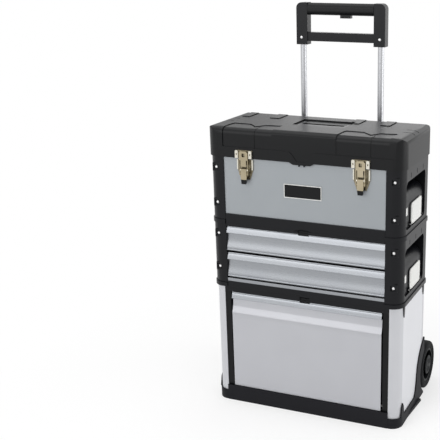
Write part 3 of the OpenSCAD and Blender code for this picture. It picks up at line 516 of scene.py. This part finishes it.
@dataclass
class Dresser:
    """Gives CAD nodes their finishes and shows moulded ones with softened edges.

    Edges sharper than sharp_deg are rounded, and faces within flat_deg are one face.
    """

    edge_mm: float = 0.7
    segments: int = 2
    sharp_deg: float = 34.0
    flat_deg: float = 0.4

    def paint(self, finish: Finish, *nodes: str) -> None:
        """Puts a finish on CAD nodes as they are.

        Args:
            finish: the finish.
            nodes: the CAD nodes.
        """
        for node in nodes:
            mesh = frame["nodes"][node].data
            mesh.materials.clear()
            mesh.materials.append(finish.material())
            LOG.info("painted %s with %s", node, finish.name)

    def soften(self, finish: Finish, *nodes: str, edge_mm: float | None = None) -> None:
        """Shows a copy of each node in its place, with its edges rounded by edge_mm."""
        for node in nodes:
            self.soft_copy(node, finish, edge_mm or self.edge_mm)

    def soft_copy(self, node: str, finish: Finish, edge_mm: float) -> bpy.types.Object:
        """Copies one node, merges its triangles into flat faces and rounds its edges.

        Args:
            node: the CAD node to stand for.
            finish: the finish of the copy.
            edge_mm: the rounding.

        Returns:
            The copy.
        """
        shape = bmesh.new()
        shape.from_mesh(frame["nodes"][node].data)
        bmesh.ops.remove_doubles(shape, verts=shape.verts, dist=SAME_POINT)
        flat = math.radians(self.flat_deg)
        bmesh.ops.dissolve_limit(shape, angle_limit=flat, verts=shape.verts, edges=shape.edges)
        mesh = bpy.data.meshes.new(f"{node}_shell")
        shape.to_mesh(mesh)
        shape.free()
        mesh.polygons.foreach_set("use_smooth", np.ones(len(mesh.polygons), bool))
        piece = bpy.data.objects.new(f"{node}_shell", mesh)
        bpy.context.scene.collection.objects.link(piece)
        mesh.materials.clear()
        mesh.materials.append(finish.material())
        bevel = piece.modifiers.new("rounded edges", "BEVEL")
        bevel.width = edge_mm * MM
        bevel.segments = self.segments
        bevel.limit_method = "ANGLE"
        bevel.angle_limit = math.radians(self.sharp_deg)
        bevel.use_clamp_overlap = True
        weighted = piece.modifiers.new("flat faces stay flat", "WEIGHTED_NORMAL")
        weighted.keep_sharp = False
        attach(piece, body_of_node(node))
        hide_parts(node)
        LOG.info("softened %s", node)
        return piece


DRESS = Dresser()
# The rounding of the thin latch plates, levers and claws.
LATCH_EDGE_MM = 0.3


def domed_rivets(node: str, axis: Along, facing: int = 0, steps: int = 20) -> None:
    """Shows domed heads in place of a node of plain rivets.

    Args:
        node: the rivets' CAD node, one solid per rivet.
        axis: the rivets' axis.
        facing: the way the heads face, or 0 for away from the middle of the node.
        steps: angles round a head.
    """
    low, high = node_mm(node)
    middle = (low + high) / 2
    a = axis.value
    across = (a + 1) % 3
    parts = []
    for lo, hi in islands_mm(node):
        centre = (lo + hi) / 2
        sign = facing or (1 if centre[a] > middle[a] else -1)
        radius = (hi[across] - lo[across]) / 2
        height = hi[a] - lo[a]
        foot = centre.copy()
        foot[a] -= sign * height / 2
        parts.append(turned(dome(radius, height), tuple(foot), axis, sign, steps))
    verts, faces = joined(parts)
    piece = tidy(new_object(f"{node}_heads", verts, faces, body_of_node(node), RIVET_ALUMINIUM))
    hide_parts(node)
    LOG.info("made %s", piece.name)


def bell(place: np.ndarray, middle: float, spread: float, height: float) -> np.ndarray:
    """Gives a bell curve: height times e to the minus square of the distance over the spread."""
    return height * np.exp(-(((place - middle) / spread) ** 2))


def full(wave: np.ndarray, power: float = 0.55) -> np.ndarray:
    """Raises a sine or cosine to a power under one, which fills its form out, with its sign."""
    return np.sign(wave) * np.abs(wave) ** power


def rounded(line: np.ndarray, rounds: int = 2) -> np.ndarray:
    """Cuts the corners of an open line.

    Each round keeps the two ends and puts points at 1/4 and 3/4 of every side in place of
    the corners.

    Args:
        line: rows of points.
        rounds: how often the corners are cut.

    Returns:
        The rounder line.
    """
    for _ in range(rounds):
        a, b = line[:-1], line[1:]
        cut = np.stack([0.75 * a + 0.25 * b, 0.25 * a + 0.75 * b], 1).reshape(-1, 2)
        line = np.concatenate([line[:1], cut, line[-1:]])
    return line


def swept_front(
    node: str,
    face: np.ndarray,
    finish: Finish,
    notch_mm: tuple[float, float] | None = None,
    thick_mm: float = 1.6,
    jog_mm: float = 0.02,
) -> bpy.types.Object:
    """Draws a bent sheet from end to end of a CAD node and shows it in the node's place.

    The point of the sheet's face with profile (p, q) at the place x lies at
    (x, y0 + p, z0 + q), where y0 and z0 are the node's foremost and lowest places. Its back
    is the same line, moved back by the sheet's thickness, so that the two close to a ring.

    Args:
        node: the CAD node that gives the length and the place.
        face: the profile's corners, rows of p and q from the bottom up.
        finish: the finish of the sheet.
        notch_mm: half the width and the depth of a notch in the middle of the top edge.
        thick_mm: the thickness, measured from front to back.
        jog_mm: the length along the sheet in which the notch reaches its depth.

    Returns:
        The swept piece.
    """
    low, high = node_mm(node)
    line = rounded(face)
    ring = np.concatenate([line, line[::-1] + [thick_mm, 0.0]])
    ends = [low[0], high[0]]
    if notch_mm:
        half = notch_mm[0]
        ends += [-half - jog_mm, -half, half, half + jog_mm]
    x = np.sort(np.array(ends))
    top = np.full(len(x), high[2])
    if notch_mm:
        top[np.abs(x) <= half] -= notch_mm[1]
    verts = np.empty((len(x), len(ring), 3))
    verts[..., 0] = x[:, None]
    verts[..., 1] = low[1] + ring[None, :, 0]
    verts[..., 2] = np.minimum(low[2] + ring[None, :, 1], top[:, None])
    count = len(line)
    k = np.arange(count - 1)
    cap = np.stack([k, k + 1, 2 * count - 2 - k, 2 * count - 1 - k], -1)
    faces = np.concatenate(
        [grid_faces(len(x), len(ring), False, True), cap, cap + (len(x) - 1) * len(ring)]
    )
    points = verts.reshape(-1, 3)
    piece = tidy(new_object(f"{node}_sheet", points, faces, body_of_node(node), finish))
    piece.data.set_sharp_from_angle(angle=math.radians(DRESS.sharp_deg))
    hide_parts(node)
    LOG.info("swept %s", piece.name)
    return piece


def dipped(piece: bpy.types.Object, axis: Along, at_mm: float, finish: Finish) -> None:
    """Gives a piece a second finish on one side of a plane, with a clean edge between.

    Args:
        piece: the piece, standing at the origin.
        axis: the axis that the plane is square to.
        at_mm: the plane's place; the second finish lies on its lower side.
        finish: the second finish.
    """
    a, at = axis.value, at_mm * MM
    shape = bmesh.new()
    shape.from_mesh(piece.data)
    bmesh.ops.bisect_plane(
        shape,
        geom=[*shape.verts, *shape.edges, *shape.faces],
        plane_co=[at if k == a else 0.0 for k in range(3)],
        plane_no=[float(k == a) for k in range(3)],
    )
    for face in shape.faces:
        face.material_index = int(face.calc_center_median()[a] < at)
    shape.to_mesh(piece.data)
    shape.free()
    piece.data.materials.append(finish.material())


def plated(node: str, sheet_mm: float = 1.25) -> None:
    """Shows latch plates with a painted highlight on their raised edges and ears and painted shade on
    their flat sheet.
    """
    # The flat sheet takes painted shade; the raised edges and ears in front of it take a painted
    # highlight.
    piece = DRESS.soft_copy(node, SHADED_NICKEL, LATCH_EDGE_MM)
    dipped(piece, Along.Y, node_mm(node)[1][1] - sheet_mm, HIGHLIT_NICKEL)


# ---------- sub-assemblies ----------


@dataclass
class WheeledBase:
    """The lower module: base, posts, panels, bin, wheels and axle.

    Its sizes are in millimetres. strip is the height of the bare aluminium at the top of
    the bin. groove is the depth of the tread's grooves, shoulder the radius between tread
    and sidewall, crown the fall of the tread to its edges, hollow how far the sidewall
    lies back, and bead how far the tyre goes under the rim of its hub.

    cap_rim is the width of a hub cap's rounded edge, rim_rise the share of the cap's
    depth that it takes and cap_step the step within it. rib is the height of the cap's
    ribs and rib_span where they start and end, as shares of its radius.
    """

    strip: float = 16.4
    tread_grooves: int = 5
    groove: float = 1.1
    shoulder: float = 6.0
    crown: float = 0.6
    hollow: float = 1.2
    bead: float = 1.9
    tyre_steps: int = 96
    cap_rim: float = 2.4
    rim_rise: float = 0.55
    cap_step: float = 1.0
    cap_ribs: int = 18
    rib: float = 0.9
    rib_span: tuple[float, float] = (0.2, 0.8)
    rib_steps: int = 6

    def bin_face(self) -> np.ndarray:
        """Gives the bin front's profile: flat panel, slope, hollow grip and proud strip.

        Returns:
            The corners from the bottom up, as swept_front takes them.
        """
        low, high = node_mm("bin_front")
        h = high[2] - low[2]
        foot = [[1.6, 0.0], [1.0, 0.6], [1.0, h - 57.0], [0.5, h - 56.2], [0.4, h - 55.0]]
        slope = [[0.8, h - 53.4], [5.6, h - 41.0], [6.6, h - 38.0], [7.4, h - 28.0], [7.8, h - 20.5]]
        hook = [[8.0, h - 17.4], [1.0, h - 17.0], [0.2, h - 16.6], [0.0, h - 15.6]]
        strip = [[0.2, h - 15.0], [3.0, h - 4.2], [4.2, h - 3.6], [3.3, h - 2.7]]
        edge = [[3.5, h - 0.8], [4.4, h]]
        return np.array(foot + slope + hook + strip + edge)

    def build(self) -> None:
        """Dresses the shell and makes the bin's front and the wheels."""
        DRESS.soften(DULL_PP, "base_moulding", "wheel_housings")
        DRESS.soften(MOULDED_PP, "lower_top_frame", "tube_brackets")
        DRESS.soften(POST_LACQUER, "lower_posts", edge_mm=0.5)
        # The side panels' lacquer is painted paler than the front's, as painted light.
        DRESS.soften(SIDE_LACQUER_PAINTED_LIGHT, "lower_side_panels", edge_mm=0.3)
        DRESS.paint(SILVER_LACQUER, "lower_back_panel")
        DRESS.soften(SMOOTH_ABS, "door_surround", "lower_catch", edge_mm=0.5)
        front = swept_front("bin_front", self.bin_face(), BRUSHED_ALUMINIUM, CATCH_NOTCH_MM)
        dipped(front, Along.Z, node_mm("bin_front")[1][2] - self.strip, DOOR_LACQUER)
        DRESS.paint(TRAY_PP, "bin_tray")
        DRESS.paint(BRIGHT_ZINC, "bin_pivot_pins", "axle")
        for side in Side:
            self.tyre(side)
            self.hub(side)

    def tyre_profile(self, radius: float, bore: float, width: float) -> np.ndarray:
        """Gives a tyre's closed half section.

        The tread falls from its middle to its edges by a parabola and has grooves cut
        into it by a cosine, short of its ends. Quarter circles make the shoulders. The
        sidewall lies a little back, and two rings stand on it, one halfway and one at the
        hub, each a bell curve over the wall's height.

        Args:
            radius: the outer radius.
            bore: the inner radius.
            width: the width along the axle.

        Returns:
            Rows of radius and height.
        """
        u = np.linspace(-1, 1, 61)
        ridges = 0.5 * (1 - np.cos(np.pi * (u + 1) * self.tread_grooves))
        short = np.abs(u) < 0.999
        tread_r = radius - self.crown * u**2 - self.groove * (1 - ridges) * short
        tread = np.stack([tread_r, width / 2 + u * (width / 2 - self.shoulder)], -1)
        t = np.linspace(0, math.pi / 2, 9)[1:]
        bend_r = radius - self.crown - self.shoulder * (1 - np.cos(t))
        bend = np.stack([bend_r, width - self.shoulder * (1 - np.sin(t))], -1)
        s = np.linspace(0, 1, 22)
        wall_r = np.linspace(radius - self.shoulder - self.hollow, bore + 0.4, len(s))
        rings = bell(s, 0.35, 0.09, 0.9) + bell(s, 0.93, 0.06, 0.7)
        wall = np.stack([wall_r, width - self.hollow + rings], -1)
        upper = np.concatenate([bend, wall])
        lower = upper[::-1] * [1, -1] + [0, width]
        return np.concatenate([lower, tread, upper])

    def tyre(self, side: Side) -> None:
        """Turns one tyre from its profile and shows it in place of the plain one.

        Args:
            side: the side that the wheel is on.
        """
        node = f"{side.value}_tyre"
        low, high = node_mm(node)
        hub_low, hub_high = node_mm(f"{side.value}_wheel_hub")
        sign = side.sign()
        centre = (low + high) / 2
        foot = (low[0] if sign > 0 else high[0], centre[1], centre[2])
        radius = (high[2] - low[2]) / 2
        bore = (hub_high[2] - hub_low[2]) / 2 - self.bead
        profile = self.tyre_profile(radius, bore, high[0] - low[0])
        verts, faces = turned(profile, foot, Along.X, sign, self.tyre_steps)
        body = f"{side.value}_wheel"
        piece = tidy(new_object(f"{node}_tread", verts, faces, body, TYRE_RUBBER))
        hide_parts(node)
        LOG.info("made %s", piece.name)

    def hub(self, side: Side) -> None:
        """Softens one hub and turns its domed cap.

        The cap's rim is a quarter ellipse, then comes a narrow step, and the face within
        rises by another quarter ellipse. Ribs run out over the face: it dips between them
        by a cosine of the angle that fades out towards the middle and towards the rim.

        Args:
            side: the side that the wheel is on.
        """
        DRESS.soften(HUB_NYLON, f"{side.value}_wheel_hub", edge_mm=0.8)
        node = f"{side.value}_hub_cap"
        low, high = node_mm(node)
        sign = side.sign()
        centre = (low + high) / 2
        radius = (high[2] - low[2]) / 2
        depth = high[0] - low[0]
        foot = (low[0] if sign > 0 else high[0], centre[1], centre[2])
        t = np.linspace(0, math.pi / 2, 10)
        rim_r = radius - self.cap_rim + self.cap_rim * np.cos(t)
        rim = np.stack([rim_r, self.rim_rise * depth * np.sin(t)], -1)
        s = np.linspace(1, 0, 12)[:-1]
        face_r = radius - self.cap_rim - self.cap_step
        face_h = depth * (0.5 + 0.5 * (1 - s**2) ** 0.5)
        face = np.stack([face_r * s, face_h], -1)
        axis_end = np.array([[0.0, depth], [0.0, 0.0], [radius, 0.0]])
        profile = np.concatenate([rim, face, axis_end])
        steps = self.rib_steps * self.cap_ribs
        verts, faces = turned(profile, foot, Along.X, sign, steps)
        wave = 0.5 - 0.5 * np.cos(2 * math.pi * np.arange(steps) / self.rib_steps)
        part = profile[:, 0] / radius
        start, end = self.rib_span
        inside = np.clip((end - part) / 0.1, 0, 1) * np.clip((part - start) / 0.1, 0, 1)
        dip = self.rib * wave[:, None] * (inside * (profile[:, 1] > 0))[None, :]
        verts[:, 0] -= sign * dip.reshape(-1)
        body = f"{side.value}_wheel"
        piece = tidy(new_object(f"{node}_dome", verts, faces, body, HUB_NYLON))
        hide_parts(node)
        LOG.info("made %s", piece.name)


@dataclass
class PullHandle:
    """The telescopic handle: tubes, frame, grip, rivets and button."""

    frame_edge: float = 2.2

    def build(self) -> None:
        """Dresses the handle."""
        DRESS.paint(ANODISED_TUBE, "outer_tubes", "inner_tubes")
        DRESS.soften(MOULDED_PP, "handle_frame", edge_mm=self.frame_edge)
        DRESS.soften(SMOOTH_ABS, "handle_button", edge_mm=0.4)
        domed_rivets("handle_rivets", Along.Y)
        DRESS.soften(GRIP_RUBBER, "handle_grip", edge_mm=0.5)


@dataclass
class DrawerChest:
    """The middle module: frames, drawers, strip, runners and clasps."""

    def drawer_face(self) -> np.ndarray:
        """Gives a drawer front's profile: lip, slope, hollow grip and a strip leaning back.

        Returns:
            The corners from the bottom up, as swept_front takes them.
        """
        low, high = node_mm("lower_drawer_front")
        h = high[2] - low[2]
        lip = [[1.8, 0.0], [0.7, 0.4], [0.3, 1.2], [0.5, 3.4], [1.9, 4.2], [2.2, 4.8]]
        slope = [[1.2, 5.6], [1.2, 7.0], [1.8, 10.0], [5.0, 23.0], [6.3, 32.0], [6.8, 39.0]]
        hook = [[6.9, h - 21.0], [7.0, h - 18.4], [1.0, h - 18.1], [0.2, h - 17.8], [0.0, h - 16.8]]
        strip = [[0.2, h - 16.0], [3.2, h - 3.9], [4.4, h - 3.3], [3.5, h - 2.4]]
        edge = [[3.7, h - 0.9], [4.6, h]]
        return np.array(lip + slope + hook + strip + edge)

    def build(self) -> None:
        """Dresses the chest and makes the drawers' fronts."""
        DRESS.soften(MOULDED_PP, "middle_left_frame", "middle_right_frame")
        DRESS.soften(MOULDED_PP, "middle_floor", "middle_top_rail")
        face = self.drawer_face()
        swept_front("upper_drawer_front", face, BRUSHED_ALUMINIUM, CATCH_NOTCH_MM)
        swept_front("lower_drawer_front", face, BRUSHED_ALUMINIUM)
        DRESS.soften(BRUSHED_ALUMINIUM, "trim_strip", edge_mm=0.4)
        DRESS.paint(GALVANISED, "upper_drawer_tray", "lower_drawer_tray", "drawer_runners")
        DRESS.paint(SILVER_LACQUER, "middle_back_panel")
        DRESS.soften(SMOOTH_ABS, "upper_catch", edge_mm=0.4)
        DRESS.soften(BRIGHT_ZINC, "middle_left_clasp", "middle_right_clasp", edge_mm=0.4)
        DRESS.paint(BRIGHT_ZINC, "middle_clasp_pins")
        domed_rivets("middle_rivets", Along.Y, facing=-1)


@dataclass
class TopBox:
    """The top module: frames, panels, draw latches, label plate and clasps.

    Its sizes are in millimetres. plate is the thickness of the label plate under its
    raised border, and tip, tip_half_w and tip_half_d are the length of a lever's black
    sleeve and half its width and depth.
    """

    plate: float = 1.05
    tip: float = 11.0
    tip_half_w: float = 7.0
    tip_half_d: float = 2.4

    def build(self) -> None:
        """Dresses the top box and its latches."""
        DRESS.soften(MOULDED_PP, "top_left_frame", "top_right_frame", "top_floor")
        DRESS.soften(SILVER_LACQUER, "top_front_panel", edge_mm=0.3)
        DRESS.paint(SILVER_LACQUER, "top_back_panel")
        DRESS.soften(WARM_NICKEL, "left_draw_claw", "right_draw_claw", edge_mm=LATCH_EDGE_MM)
        plated("draw_latch_bases")
        DRESS.soften(BRIGHT_ZINC, "top_left_clasp", "top_right_clasp", edge_mm=0.4)
        DRESS.paint(BRIGHT_ZINC, "top_pivot_pins")
        label = DRESS.soft_copy("label_plate", SMOOTH_ABS, 0.2)
        dipped(label, Along.Y, node_mm("label_plate")[1][1] - self.plate, BRIGHT_ZINC)
        domed_rivets("top_rivets", Along.Y, facing=-1)
        for side in Side:
            node = f"{side.value}_draw_lever"
            lever = DRESS.soft_copy(node, WARM_NICKEL, LATCH_EDGE_MM)
            dipped(lever, Along.Z, node_mm(node)[0][2] + self.tip, SMOOTH_ABS)
            self.latch_tip(side)

    def latch_tip(self, side: Side) -> None:
        """Makes the black sleeve round the dipped end of a draw latch's lever.

        The sleeve is a superellipsoid with its poles above and below. Over the angle u
        round it and the angle v from its top, x is cos u times sin v, y is sin u times
        sin v and z is cos v, each sine and cosine full, and each then times half the
        sleeve's size that way. The sleeve is set back a little from the lever's front and
        up from its end, so that it stays in the solids' box.

        Args:
            side: the side that the latch is on.
        """
        low, high = node_mm(f"{side.value}_draw_lever")
        half_w, half_d, half_h = self.tip_half_w, self.tip_half_d, self.tip / 2
        back, up = 0.05, 0.1
        u = np.linspace(0, 2 * math.pi, 40, endpoint=False)
        v = np.linspace(0, math.pi, 16)
        uu, vv = np.meshgrid(u, v, indexing="ij")
        x = (low[0] + high[0]) / 2 + half_w * full(np.cos(uu)) * full(np.sin(vv))
        y = low[1] + back + half_d + half_d * full(np.sin(uu)) * full(np.sin(vv))
        z = low[2] + up + half_h + half_h * full(np.cos(vv))
        verts = np.stack([x, y, z], -1).reshape(-1, 3)
        faces = grid_faces(len(u), len(v), True, False)
        name, body = f"{side.value}_latch_tip", f"{side.value}_lever"
        tidy(new_object(name, verts, faces, body, SMOOTH_ABS))
        LOG.info("made %s", name)


@dataclass
class LidTop:
    """The lid with its keepers and carry handle."""

    def build(self) -> None:
        """Dresses the lid, its keepers and its handle."""
        DRESS.soften(GRAINED_PP, "lid", edge_mm=0.6)
        plated("lid_keepers")
        DRESS.soften(SMOOTH_ABS, "lid_handle", edge_mm=0.8)


# ---------- studio ----------

WHITE = (1.0, 1.0, 1.0, 1.0)


@dataclass(frozen=True)
class Lamp:
    """A rectangular softbox that faces the middle of the object.

    Its place, its two sides and what it is aimed at are in metres, its power in watts.
    """

    name: str
    place: tuple[float, float, float]
    sides: tuple[float, float]
    power: float
    aim: tuple[float, float, float] = (0.0, 0.0, 0.4)

    def hang(self) -> None:
        """Hangs the softbox in the scene, with its face towards its aim."""
        light = bpy.data.lights.new(self.name, "AREA")
        light.shape = "RECTANGLE"
        light.size, light.size_y = self.sides
        light.energy = self.power
        lamp = bpy.data.objects.new(self.name, light)
        bpy.context.scene.collection.objects.link(lamp)
        lamp.location = self.place
        way = np.array(self.aim) - np.array(self.place)
        flat = math.hypot(way[0], way[1])
        lamp.rotation_euler = (math.atan2(flat, -way[2]), 0.0, math.atan2(-way[0], way[1]))


@dataclass
class Studio:
    """Floor, world, lamps and the camera at the photograph's angle.

    The camera's place and lens were solved from the box's edges in the photograph. The
    floor's paper is grey under the lamps and glow by itself, and from the first to the
    second distance of fade_m it turns to plain white. Rays that the camera, gloss and
    glass don't send see it in the colour bounce.
    """

    camera_m: tuple[float, float, float] = (0.8219, -2.0001, 1.1245)
    azimuth_deg: float = 20.93
    elevation_deg: float = 16.32
    lens: float = 73.55
    shift: tuple[float, float] = (-0.2748, -0.0059)
    floor_m: float = 30.0
    grey: float = 0.44
    glow: float = 0.6
    bounce: str = "E8E8E8"
    fade_m: tuple[float, float] = (0.35, 0.9)
    sky: float = 0.5
    lamps: tuple[Lamp, ...] = (
        Lamp("softbox over the camera", (-0.8, -2.2, 1.4), (2.2, 1.5), 19.0),
        Lamp("softbox from the right", (2.4, 0.4, 0.9), (1.4, 1.4), 16.0),
        Lamp("softbox from behind", (-0.1, 2.7, 1.0), (2.4, 1.2), 9.0),
        Lamp("softbox overhead", (-0.3, -0.2, 3.0), (2.0, 2.0), 22.0),
    )

    def build(self) -> None:
        """Builds the whole studio."""
        self.floor()
        self.world()
        for lamp in self.lamps:
            lamp.hang()
        self.camera()
        bpy.context.scene.view_settings.view_transform = "Standard"

    def floor(self) -> None:
        """Lays a pale floor that the camera sees as white but that keeps a shadow."""
        half = self.floor_m / 2
        corners = [(-half, -half, 0.0), (half, -half, 0.0), (half, half, 0.0), (-half, half, 0.0)]
        mesh = bpy.data.meshes.new("floor")
        mesh.from_pydata(corners, [], [[0, 1, 2, 3]])
        floor = bpy.data.objects.new("floor", mesh)
        bpy.context.scene.collection.objects.link(floor)
        mesh.materials.append(self.paper())

    @staticmethod
    def seen(tree: bpy.types.NodeTree) -> bpy.types.NodeSocket:
        """Adds nodes that give 1 to camera, glossy and transmission rays and 0 to others.

        Args:
            tree: the node tree that takes the nodes.

        Returns:
            The socket with the value.
        """
        rays = add(tree, "ShaderNodeLightPath")
        value = rays.outputs["Is Camera Ray"]
        for other in ("Is Glossy Ray", "Is Transmission Ray"):
            larger = add(tree, "ShaderNodeMath", {"operation": "MAXIMUM"})
            tree.links.new(value, larger.inputs[0])
            tree.links.new(rays.outputs[other], larger.inputs[1])
            value = larger.outputs[0]
        return value

    def paper(self) -> bpy.types.Material:
        """Makes the floor's paper: what looks at it sees part of its white as its own light.

        The rest comes from the lamps, so the object's shadow stays on it. Away from the
        object the share of the lamps runs out and the paper is plain white.

        Returns:
            The floor's material.
        """
        paper = bpy.data.materials.new("Paper floor")
        paper.use_nodes = True
        tree = paper.node_tree
        tree.nodes.clear()
        grey = add(tree, "ShaderNodeBsdfDiffuse", {"Color": (self.grey,) * 3 + (1.0,)})
        glow = add(tree, "ShaderNodeEmission", {"Color": (self.glow,) * 3 + (1.0,)})
        near = add(tree, "ShaderNodeAddShader")
        tree.links.new(grey.outputs[0], near.inputs[0])
        tree.links.new(glow.outputs[0], near.inputs[1])
        white = add(tree, "ShaderNodeEmission", {"Color": WHITE})
        place = add(tree, "ShaderNodeTexCoord")
        length = add(tree, "ShaderNodeVectorMath", {"operation": "LENGTH"})
        tree.links.new(place.outputs["Object"], length.inputs[0])
        far = add(
            tree,
            "ShaderNodeMapRange",
            {"From Min": self.fade_m[0], "From Max": self.fade_m[1]},
            {"Value": length.outputs["Value"]},
        )
        both = add(tree, "ShaderNodeMixShader")
        tree.links.new(far.outputs["Result"], both.inputs[0])
        tree.links.new(near.outputs[0], both.inputs[1])
        tree.links.new(white.outputs[0], both.inputs[2])
        plain = add(tree, "ShaderNodeBsdfDiffuse", {"Color": linear(self.bounce)})
        mixed = add(tree, "ShaderNodeMixShader")
        tree.links.new(self.seen(tree), mixed.inputs[0])
        tree.links.new(plain.outputs[0], mixed.inputs[1])
        tree.links.new(both.outputs[0], mixed.inputs[2])
        add(tree, "ShaderNodeOutputMaterial", links={"Surface": mixed.outputs[0]})
        return paper

    def world(self) -> None:
        """Lights the scene from all round and shows white behind the object."""
        world = bpy.data.worlds.new("studio")
        bpy.context.scene.world = world
        world.use_nodes = True
        tree = world.node_tree
        tree.nodes.clear()
        soft = add(tree, "ShaderNodeBackground", {"Color": WHITE, "Strength": self.sky})
        clear = add(tree, "ShaderNodeBackground", {"Color": WHITE, "Strength": 1.0})
        mixed = add(tree, "ShaderNodeMixShader")
        tree.links.new(self.seen(tree), mixed.inputs[0])
        tree.links.new(soft.outputs[0], mixed.inputs[1])
        tree.links.new(clear.outputs[0], mixed.inputs[2])
        add(tree, "ShaderNodeOutputWorld", links={"Surface": mixed.outputs[0]})

    def camera(self) -> None:
        """Places the camera, turned by its azimuth and tipped by its elevation."""
        data = bpy.data.cameras.new("camera")
        data.lens = self.lens
        data.sensor_width = 36.0
        data.shift_x, data.shift_y = self.shift
        data.clip_end = 50.0
        camera = bpy.data.objects.new("camera", data)
        bpy.context.scene.collection.objects.link(camera)
        camera.location = self.camera_m
        tip, turn = math.radians(90 - self.elevation_deg), math.radians(self.azimuth_deg)
        camera.rotation_euler = (tip, 0.0, turn)
        bpy.context.scene.camera = camera


def main() -> None:
    """Dresses the tool box from the floor up and sets up the studio."""
    logging.basicConfig(level=logging.INFO, format="%(name)s: %(message)s")
    for assembly in (WheeledBase(), PullHandle(), DrawerChest(), TopBox(), LidTop(), Studio()):
        assembly.build()
        LOG.info("built %s", type(assembly).__name__)


if __name__ == "__main__":
    main()
